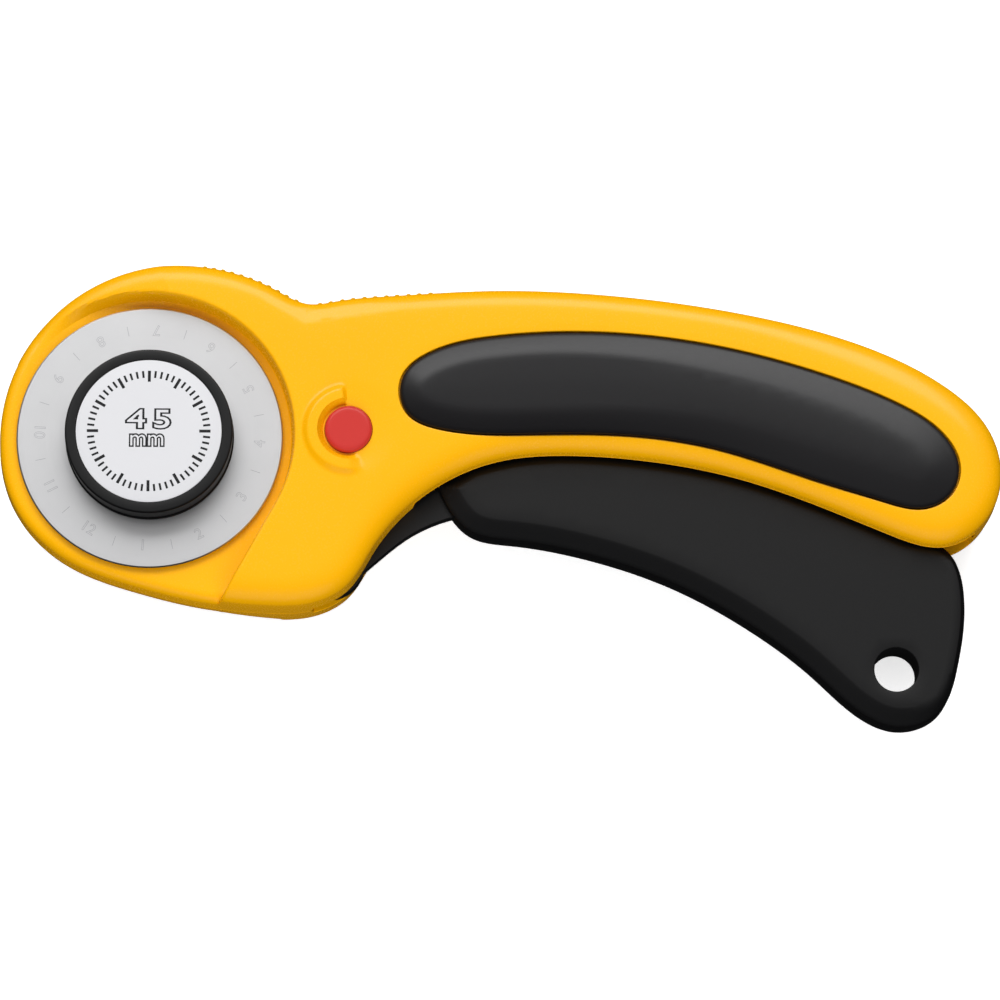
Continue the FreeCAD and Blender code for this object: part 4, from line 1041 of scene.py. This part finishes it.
class CUTTER_OT_trigger(bpy.types.Operator):
    """Build the soft trigger grip with its hanging hole"""

    bl_idname = "cutter.trigger"
    bl_label = "Trigger grip"

    def execute(self, context):
        face, line, hole, rim = trigger_half()
        side = strip(raised(line, -TRIGGER_WALL), raised(line, TRIGGER_WALL))
        bore = strip(raised(hole, -rim), raised(hole, rim))
        meshes = [face, *mirrored([face]), side, bore]
        piece("trigger_cover", meshes, matt_elastomer(), "trigger", ["trigger_grip"])
        return {"FINISHED"}


# ---------------------------------------------------------------- blade and clamp

NUMERAL_SCALE = 1.37
NUMERAL_FLATNESS = 0.3
MARK_SINK = 0.02
MARK_HEIGHT = 0.03
HONE_BREAK = 0.02
DIAL_NUMERALS = range(1, 13)
DIAL_TOP_NUMERAL = 7
DIAL_TOP_DEGREES = 87
NUMERAL_REACH = 18.7
DIAL_MARK_REACH = 18.8
TICK_REACH = 10.4
NUT_SCOOP = 1.7
NUT_SCOOP_START = 0.9
CAP_LABEL_DEPTH = 0.25


def outlined_text(text, height, thickness, place, turn, level, stretch=1.0, boldness=0.0, spacing=1.0):
    """Thin raised outline of numerals as points and faces in millimetres."""
    curve = bpy.data.curves.new("numerals", "FONT")
    curve.body = text
    curve.size = height * MM * NUMERAL_SCALE
    curve.align_x = "CENTER"
    curve.align_y = "CENTER"
    curve.fill_mode = "NONE"
    curve.offset = boldness * MM
    curve.space_character = spacing
    curve.bevel_depth = thickness / 2 * MM
    curve.bevel_resolution = 0
    curve.resolution_u = 4
    carrier = bpy.data.objects.new("numerals", curve)
    bpy.context.scene.collection.objects.link(carrier)
    bpy.context.view_layer.update()
    mesh = bpy.data.meshes.new_from_object(carrier.evaluated_get(bpy.context.evaluated_depsgraph_get()))
    points = np.array([vertex.co for vertex in mesh.vertices]) / MM * (stretch, 1.0, 1.0)
    faces = [tuple(polygon.vertices) for polygon in mesh.polygons]
    bpy.data.objects.remove(carrier)
    bpy.data.curves.remove(curve)
    bpy.data.meshes.remove(mesh)
    cos, sin = math.cos(turn), math.sin(turn)
    across = points[:, 0] * cos - points[:, 1] * sin + place[0]
    up = points[:, 0] * sin + points[:, 1] * cos + place[1]
    return np.column_stack([across, up, points[:, 2] * NUMERAL_FLATNESS + level]), faces


def bar(place, turn, length, width, level):
    """Small bar that stands a little out of a face, its length along a direction."""
    along = np.array([math.cos(turn), math.sin(turn)]) * length / 2
    beside = np.array([-math.sin(turn), math.cos(turn)]) * width / 2
    corners = [place + along + beside, place - along + beside,
               place - along - beside, place + along - beside]
    foot = level - MARK_SINK
    points = [(*corner, z) for z in (foot, foot + MARK_HEIGHT) for corner in corners]
    faces = [(0, 1, 2, 3), (7, 6, 5, 4), (0, 4, 5, 1), (1, 5, 6, 2), (2, 6, 7, 3), (3, 7, 4, 0)]
    return points, faces


def polar(radius, degrees):
    """Point at a distance and direction from the blade's axis."""
    turn = math.radians(degrees)
    return radius * np.array([math.cos(turn), math.sin(turn)])


class CUTTER_OT_blade(bpy.types.Operator):
    """Build the blade and its etched dial"""

    bl_idname = "cutter.blade"
    bl_label = "Blade"

    def execute(self, context):
        radius = node_radius("blade")
        low = level_of(node_low("blade").z)
        high = level_of(node_high("blade").z)
        bevel = sizes().blade_bevel / MM
        middle = (low + high) / 2
        flat = radius - bevel
        face = [(4.0, high), (10.0, high), (16.0, high), (flat - HONE_BREAK, high), (flat, high - 0.004)]
        edge = [(radius - HONE_BREAK, middle + HONE_BREAK), (radius, middle),
                (radius - HONE_BREAK, middle - HONE_BREAK)]
        back = [(flat, low), (16.0, low), (4.0, low), (4.0, high)]
        made = piece("blade_disc", [lathe(face + edge + back, 288)], ground_steel(), "blade",
                     ["blade"], sharp=8)
        made.data.materials.append(honed_steel())
        for polygon in made.data.polygons:
            if polygon.center.xy.length > (flat - 0.01) * MM:
                polygon.material_index = 1
        marks = []
        spacing = 360 / len(DIAL_NUMERALS)
        for number in DIAL_NUMERALS:
            degrees = DIAL_TOP_DEGREES + (number - DIAL_TOP_NUMERAL) * spacing
            turn = math.radians(degrees + 90)
            marks.append(outlined_text(str(number), 1.9, 0.06, polar(NUMERAL_REACH, degrees), turn, high))
            between = degrees + spacing / 2
            marks.append(bar(polar(DIAL_MARK_REACH, between), math.radians(between), 1.7, 0.07, high))
        piece("blade_dial", marks, etched_steel(), "blade", merge=0.0001)
        return {"FINISHED"}


def cap_profile():
    """Half section of the cap: foot flange, tapered side, rounded rim and label seat."""
    radius = node_radius("bolt_cap")
    low = level_of(node_low("bolt_cap").z)
    high = level_of(node_high("bolt_cap").z)
    seat = sizes().label_radius / MM + 0.08
    return rounded([
        (0.0, low, 0), (radius, low, 0.08), (radius, low + 0.45, 0.12), (radius - 0.25, low + 0.6, 0.1),
        (radius - 0.1, high, 0.35), (seat + 0.02, high, 0.08), (seat, high - CAP_LABEL_DEPTH, 0),
        (0.0, high - CAP_LABEL_DEPTH, 0),
    ])


class CUTTER_OT_clamp(bpy.types.Operator):
    """Build the cap with its printed label, and the nut"""

    bl_idname = "cutter.clamp"
    bl_label = "Cap, label and nut"

    def execute(self, context):
        nylon = satin_nylon()
        piece("blade_cap", [lathe(cap_profile(), 192)], nylon, "trigger", ["bolt_cap"])
        self.label()
        piece("finger_nut", [scalloped_nut()], nylon, "trigger", ["blade_nut"])
        return {"FINISHED"}

    def label(self):
        """White disc with a generic size mark and a ring of scale ticks."""
        radius = sizes().label_radius / MM
        low = level_of(node_low("cap_label").z)
        high = level_of(node_high("cap_label").z)
        disc = [(0.0, low, 0), (radius, low, 0), (radius, high, 0.04), (8.0, high, 0), (0.0, high, 0)]
        piece("label_disc", [lathe(rounded(disc, 3), 160)], printed_film(), "trigger",
              ["cap_label"])
        marks = [
            outlined_text("45", 3.3, 0.26, (0.08, 1.9), 0.0, high, 1.42, 0.15, 1.35),
            outlined_text("mm", 2.97, 0.26, (-0.3, -1.3), 0.0, high, 0.955, 0.12),
        ]
        for place in range(60):
            degrees = place * 6.0
            length, width = (1.9, 0.5) if place % 5 == 0 else (1.2, 0.36)
            middle = polar(TICK_REACH - length / 2, degrees)
            marks.append(bar(middle, math.radians(degrees), length, width, high))
        piece("label_print", marks, printed_ink(), "trigger", merge=0.0001)


def scalloped_nut():
    """Closed nut with finger scallops, rounded rims and a shallow dish in its outer face."""
    radius = node_radius("blade_nut")
    top = level_of(node_high("blade_nut").z)
    low = level_of(node_low("blade_nut").z)
    count = sizes().nut_scallops
    segments = count * 24
    turn = np.linspace(0, FULL_TURN, segments, endpoint=False)
    phase = (turn * count / FULL_TURN + 0.5) % 1 - 0.5
    side = phase * FULL_TURN / count * radius
    scoop = np.sqrt(np.clip(NUT_SCOOP**2 - side**2, 0, None)) - NUT_SCOOP_START
    scallop = np.clip(scoop, 0, None) * step(scoop, 0, 0.5)
    # Each ring is a radius, a level, and 1 where the scallops cut it.
    rings = [
        (0.0, top, 0), (radius - 0.5, top, 1), (radius - 0.15, top - 0.15, 1), (radius, top - 0.5, 1),
        (radius, low + 0.8, 1), (radius - 0.2, low + 0.3, 1), (radius - 0.8, low, 1),
        (6.6, low, 0), (6.3, low + 0.12, 0), (6.0, low + 0.35, 0), (0.0, low + 0.35, 0)]
    points, faces = lathe([ring[:2] for ring in rings], segments)
    points = np.array(points)
    for place, (reach, _, cut) in enumerate(rings[1:-1]):
        first = 1 + place * segments
        points[first:first + segments, :2] *= (1 - cut * scallop / reach)[:, None]
    return points, faces


# ---------------------------------------------------------------- lock

LOCK_EDGE_ROUND = 0.75
LOCK_FACE_DISH = 0.06


class CUTTER_OT_lock(bpy.types.Operator):
    """Build the two red buttons of the lock"""

    bl_idname = "cutter.lock"
    bl_label = "Lock buttons"

    def execute(self, context):
        acetal = polished_acetal()
        edge = LOCK_EDGE_ROUND
        radius = node_radius("lock_button")
        face = level_of(node_high("lock_button").z)
        front = rounded([
            (0.0, 1.8, 0), (3.0, 1.8, 0.1), (3.0, 4.6, 0), (radius, 4.6, 0.1),
            (radius, face, edge), (radius - 1.2, face, 0), (0.0, face - LOCK_FACE_DISH, 0)])
        neck = lathe([(0.0, -5.9), (1.8, -5.9), (1.8, 1.9), (0.0, 1.9)], 48, LOCK)
        piece("lock_button_front", [lathe(front, 96, LOCK), neck], acetal, "lock",
              ["lock_button"])
        low = level_of(node_low("lock_button_cap").z)
        rear = rounded([
            (0.0, low + LOCK_FACE_DISH, 0), (radius - 1.2, low, 0), (radius, low, edge),
            (radius, -3.4, 0.1), (0.0, -3.4, 0)])
        piece("lock_button_rear", [lathe(rear, 96, LOCK)], acetal, "lock",
              ["lock_button_cap"])
        return {"FINISHED"}


# ---------------------------------------------------------------- metal parts

class CUTTER_OT_hardware(bpy.types.Operator):
    """Give the pins, springs, screws and the lever their finishes"""

    bl_idname = "cutter.hardware"
    bl_label = "Metal parts and lever"

    def execute(self, context):
        # Bright zinc plate over steel: cool grey, with faint spangles.
        zinc = plated_metal("bright_zinc_plate", linear("#B8B9BD"), 0.28, 0.8)
        # Spring wire, drawn and oiled: darker and smoother than plate.
        wire = plated_metal("drawn_spring_wire", linear("#8C8D92"), 0.25, 0.5)
        # Free-cutting brass, turned: warm yellow, with a satin face.
        brass = plated_metal("turned_brass", linear("#C9A24A"), 0.3, 0.6)
        finishes = {
            "pivot_pin": zinc, "housing_screws": zinc, "blade_bolt": zinc, "spring_washer": wire,
            "return_spring": wire, "lock_detent_clip": wire, "pivot_bush": brass, "nut_insert": brass,
            "trigger_arm": satin_nylon(),
        }
        for node, finish in finishes.items():
            mesh = frame["nodes"][node].data
            mesh.materials.clear()
            mesh.materials.append(finish)
        return {"FINISHED"}


# ---------------------------------------------------------------- stage

CAMERA_PLACE = Vector((0.039622, -0.221669, 0.991971))
CAMERA_BACK = Vector((-0.01962, -0.21132, 0.97722))
CAMERA_LENS = 212.94
SENSOR_WIDTH = 36.0
DOME_RADIUS = 6.0

# Name, place, size and watts of each lamp; both aim at the middle of the cutter.
LAMPS = [
    ("key_softbox", (0.0, 0.95, 0.95), (1.6, 0.8), 17.0),
    ("fill_softbox", (0.06, -1.15, 0.70), (1.6, 1.0), 15.0),
]
LAMP_TARGET = Vector((0.06, 0.0, 0.0))

# The surround is brightest toward this direction, overhead and past the thumb rest.
SKY_DIRECTION = (0.0, 0.5, 0.87)


class CUTTER_OT_stage(bpy.types.Operator):
    """Set up the pale floor, the lights and the camera"""

    bl_idname = "cutter.stage"
    bl_label = "Stage"

    def execute(self, context):
        scene = context.scene
        scene.view_settings.view_transform = "Standard"
        self.floor()
        self.lights()
        self.camera(scene)
        return {"FINISHED"}

    def floor(self):
        """Pale floor and a far dome, both seen by the camera only."""
        material, tree, place = new_material("pale_floor_paint")
        speckle = add_node(tree, "TexNoise", {}, {
            "Vector": (place, "Object"), "Scale": 1 / (FLOOR_SPECKLE_MM * MM)})
        shade = add_node(tree, "ValToRGB", {}, {"Fac": (speckle, "Fac")})
        shade.color_ramp.elements[0].color = rgba(linear("#F4F4F4"))
        shade.color_ramp.elements[1].color = rgba(linear("#FAFAFA"))
        shader = add_node(tree, "BsdfPrincipled", {}, {
            "Base Color": (shade, "Color"), "Roughness": 0.9, "Specular IOR Level": 0.0,
            "Emission Color": (1.0, 1.0, 1.0, 1.0), "Emission Strength": 0.62})
        output(tree, shader)
        bpy.ops.mesh.primitive_circle_add(
            vertices=128, radius=DOME_RADIUS, fill_type="NGON", location=(0, 0, -0.2 * MM))
        floor = bpy.context.object
        floor.name = "floor"
        floor.data.materials.append(material)
        backdrop, tree, _ = new_material("pale_backdrop")
        glow = add_node(tree, "Emission", {}, {"Color": (0.9, 0.9, 0.9, 1.0), "Strength": 1.0})
        add_node(tree, "OutputMaterial", {}, {"Surface": (glow, "Emission")})
        bpy.ops.mesh.primitive_uv_sphere_add(segments=64, ring_count=32, radius=DOME_RADIUS)
        dome = bpy.context.object
        dome.name = "backdrop"
        dome.data.materials.append(backdrop)
        for stage_piece in (floor, dome):
            stage_piece.visible_diffuse = False
            stage_piece.visible_glossy = False
            stage_piece.visible_shadow = False

    def lights(self):
        """A soft key lamp past the thumb rest, a soft fill on the trigger's side, and a surround."""
        world = bpy.data.worlds.new("studio")
        bpy.context.scene.world = world
        world.use_nodes = True
        tree = world.node_tree
        tree.nodes.clear()
        place = add_node(tree, "TexCoord", {}, {})
        height = add_node(tree, "VectorMath", {"operation": "DOT_PRODUCT"}, {
            0: (place, "Generated"), 1: SKY_DIRECTION})
        share = add_node(tree, "MapRange", {}, {
            "Value": (height, "Value"), "From Min": 0.38, "From Max": 0.86,
            "To Min": 0.02, "To Max": 0.55})
        sky = add_node(tree, "Background", {}, {
            "Color": (1.0, 1.0, 1.0, 1.0), "Strength": (share, "Result")})
        add_node(tree, "OutputWorld", {}, {"Surface": (sky, "Background")})
        for name, place, size, energy in LAMPS:
            light = bpy.data.lights.new(name, "AREA")
            light.shape = "RECTANGLE"
            light.size, light.size_y = size
            light.energy = energy
            lamp = bpy.data.objects.new(name, light)
            lamp.location = place
            aim = LAMP_TARGET - lamp.location
            lamp.rotation_mode = "QUATERNION"
            lamp.rotation_quaternion = aim.to_track_quat("-Z", "Y")
            bpy.context.scene.collection.objects.link(lamp)
            # Only the key lamp is mirrored, as a second reflection would grey the black parts.
            lamp.visible_glossy = name == "key_softbox"

    def camera(self, scene):
        """Long lens, looking down at the front face from the trigger's side."""
        back = CAMERA_BACK.normalized()
        right = Vector((0, 1, 0)).cross(back).normalized()
        up = back.cross(right)
        data = bpy.data.cameras.new("camera")
        data.lens = CAMERA_LENS
        data.sensor_width = SENSOR_WIDTH
        data.clip_end = 50.0
        camera = bpy.data.objects.new("camera", data)
        turned = Matrix((right, up, back)).transposed().to_4x4()
        camera.matrix_world = Matrix.Translation(CAMERA_PLACE) @ turned
        scene.collection.objects.link(camera)
        scene.camera = camera


# ---------------------------------------------------------------- panel and running

BUILD_ORDER = [
    CUTTER_OT_stage, CUTTER_OT_housing, CUTTER_OT_grips, CUTTER_OT_trigger,
    CUTTER_OT_blade, CUTTER_OT_clamp, CUTTER_OT_lock, CUTTER_OT_hardware,
]


class CUTTER_PT_panel(bpy.types.Panel):
    """Sizes, colours and builders of the rotary cutter"""

    bl_idname = "CUTTER_PT_panel"
    bl_label = "Rotary cutter"
    bl_space_type = "VIEW_3D"
    bl_region_type = "UI"
    bl_category = "Cutter"

    def draw(self, context):
        layout = self.layout
        for group in (context.scene.cutter_sizes, context.scene.cutter_colours):
            box = layout.box()
            for name in group.__annotations__:
                box.prop(group, name)
        for operator in BUILD_ORDER:
            layout.operator(operator.bl_idname)


CLASSES = [CutterSizes, CutterColours, *BUILD_ORDER, CUTTER_PT_panel]


def register():
    """Adds the add-on's classes and its settings."""
    for item in CLASSES:
        bpy.utils.register_class(item)
    bpy.types.Scene.cutter_sizes = PointerProperty(type=CutterSizes)
    bpy.types.Scene.cutter_colours = PointerProperty(type=CutterColours)


def unregister():
    """Takes the add-on's classes and its settings away."""
    del bpy.types.Scene.cutter_colours
    del bpy.types.Scene.cutter_sizes
    for item in reversed(CLASSES):
        bpy.utils.unregister_class(item)


def main():
    """Builds the whole scene."""
    register()
    for operator in BUILD_ORDER:
        group, name = operator.bl_idname.split(".")
        getattr(getattr(bpy.ops, group), name)()


if __name__ == "__main__":
    main()
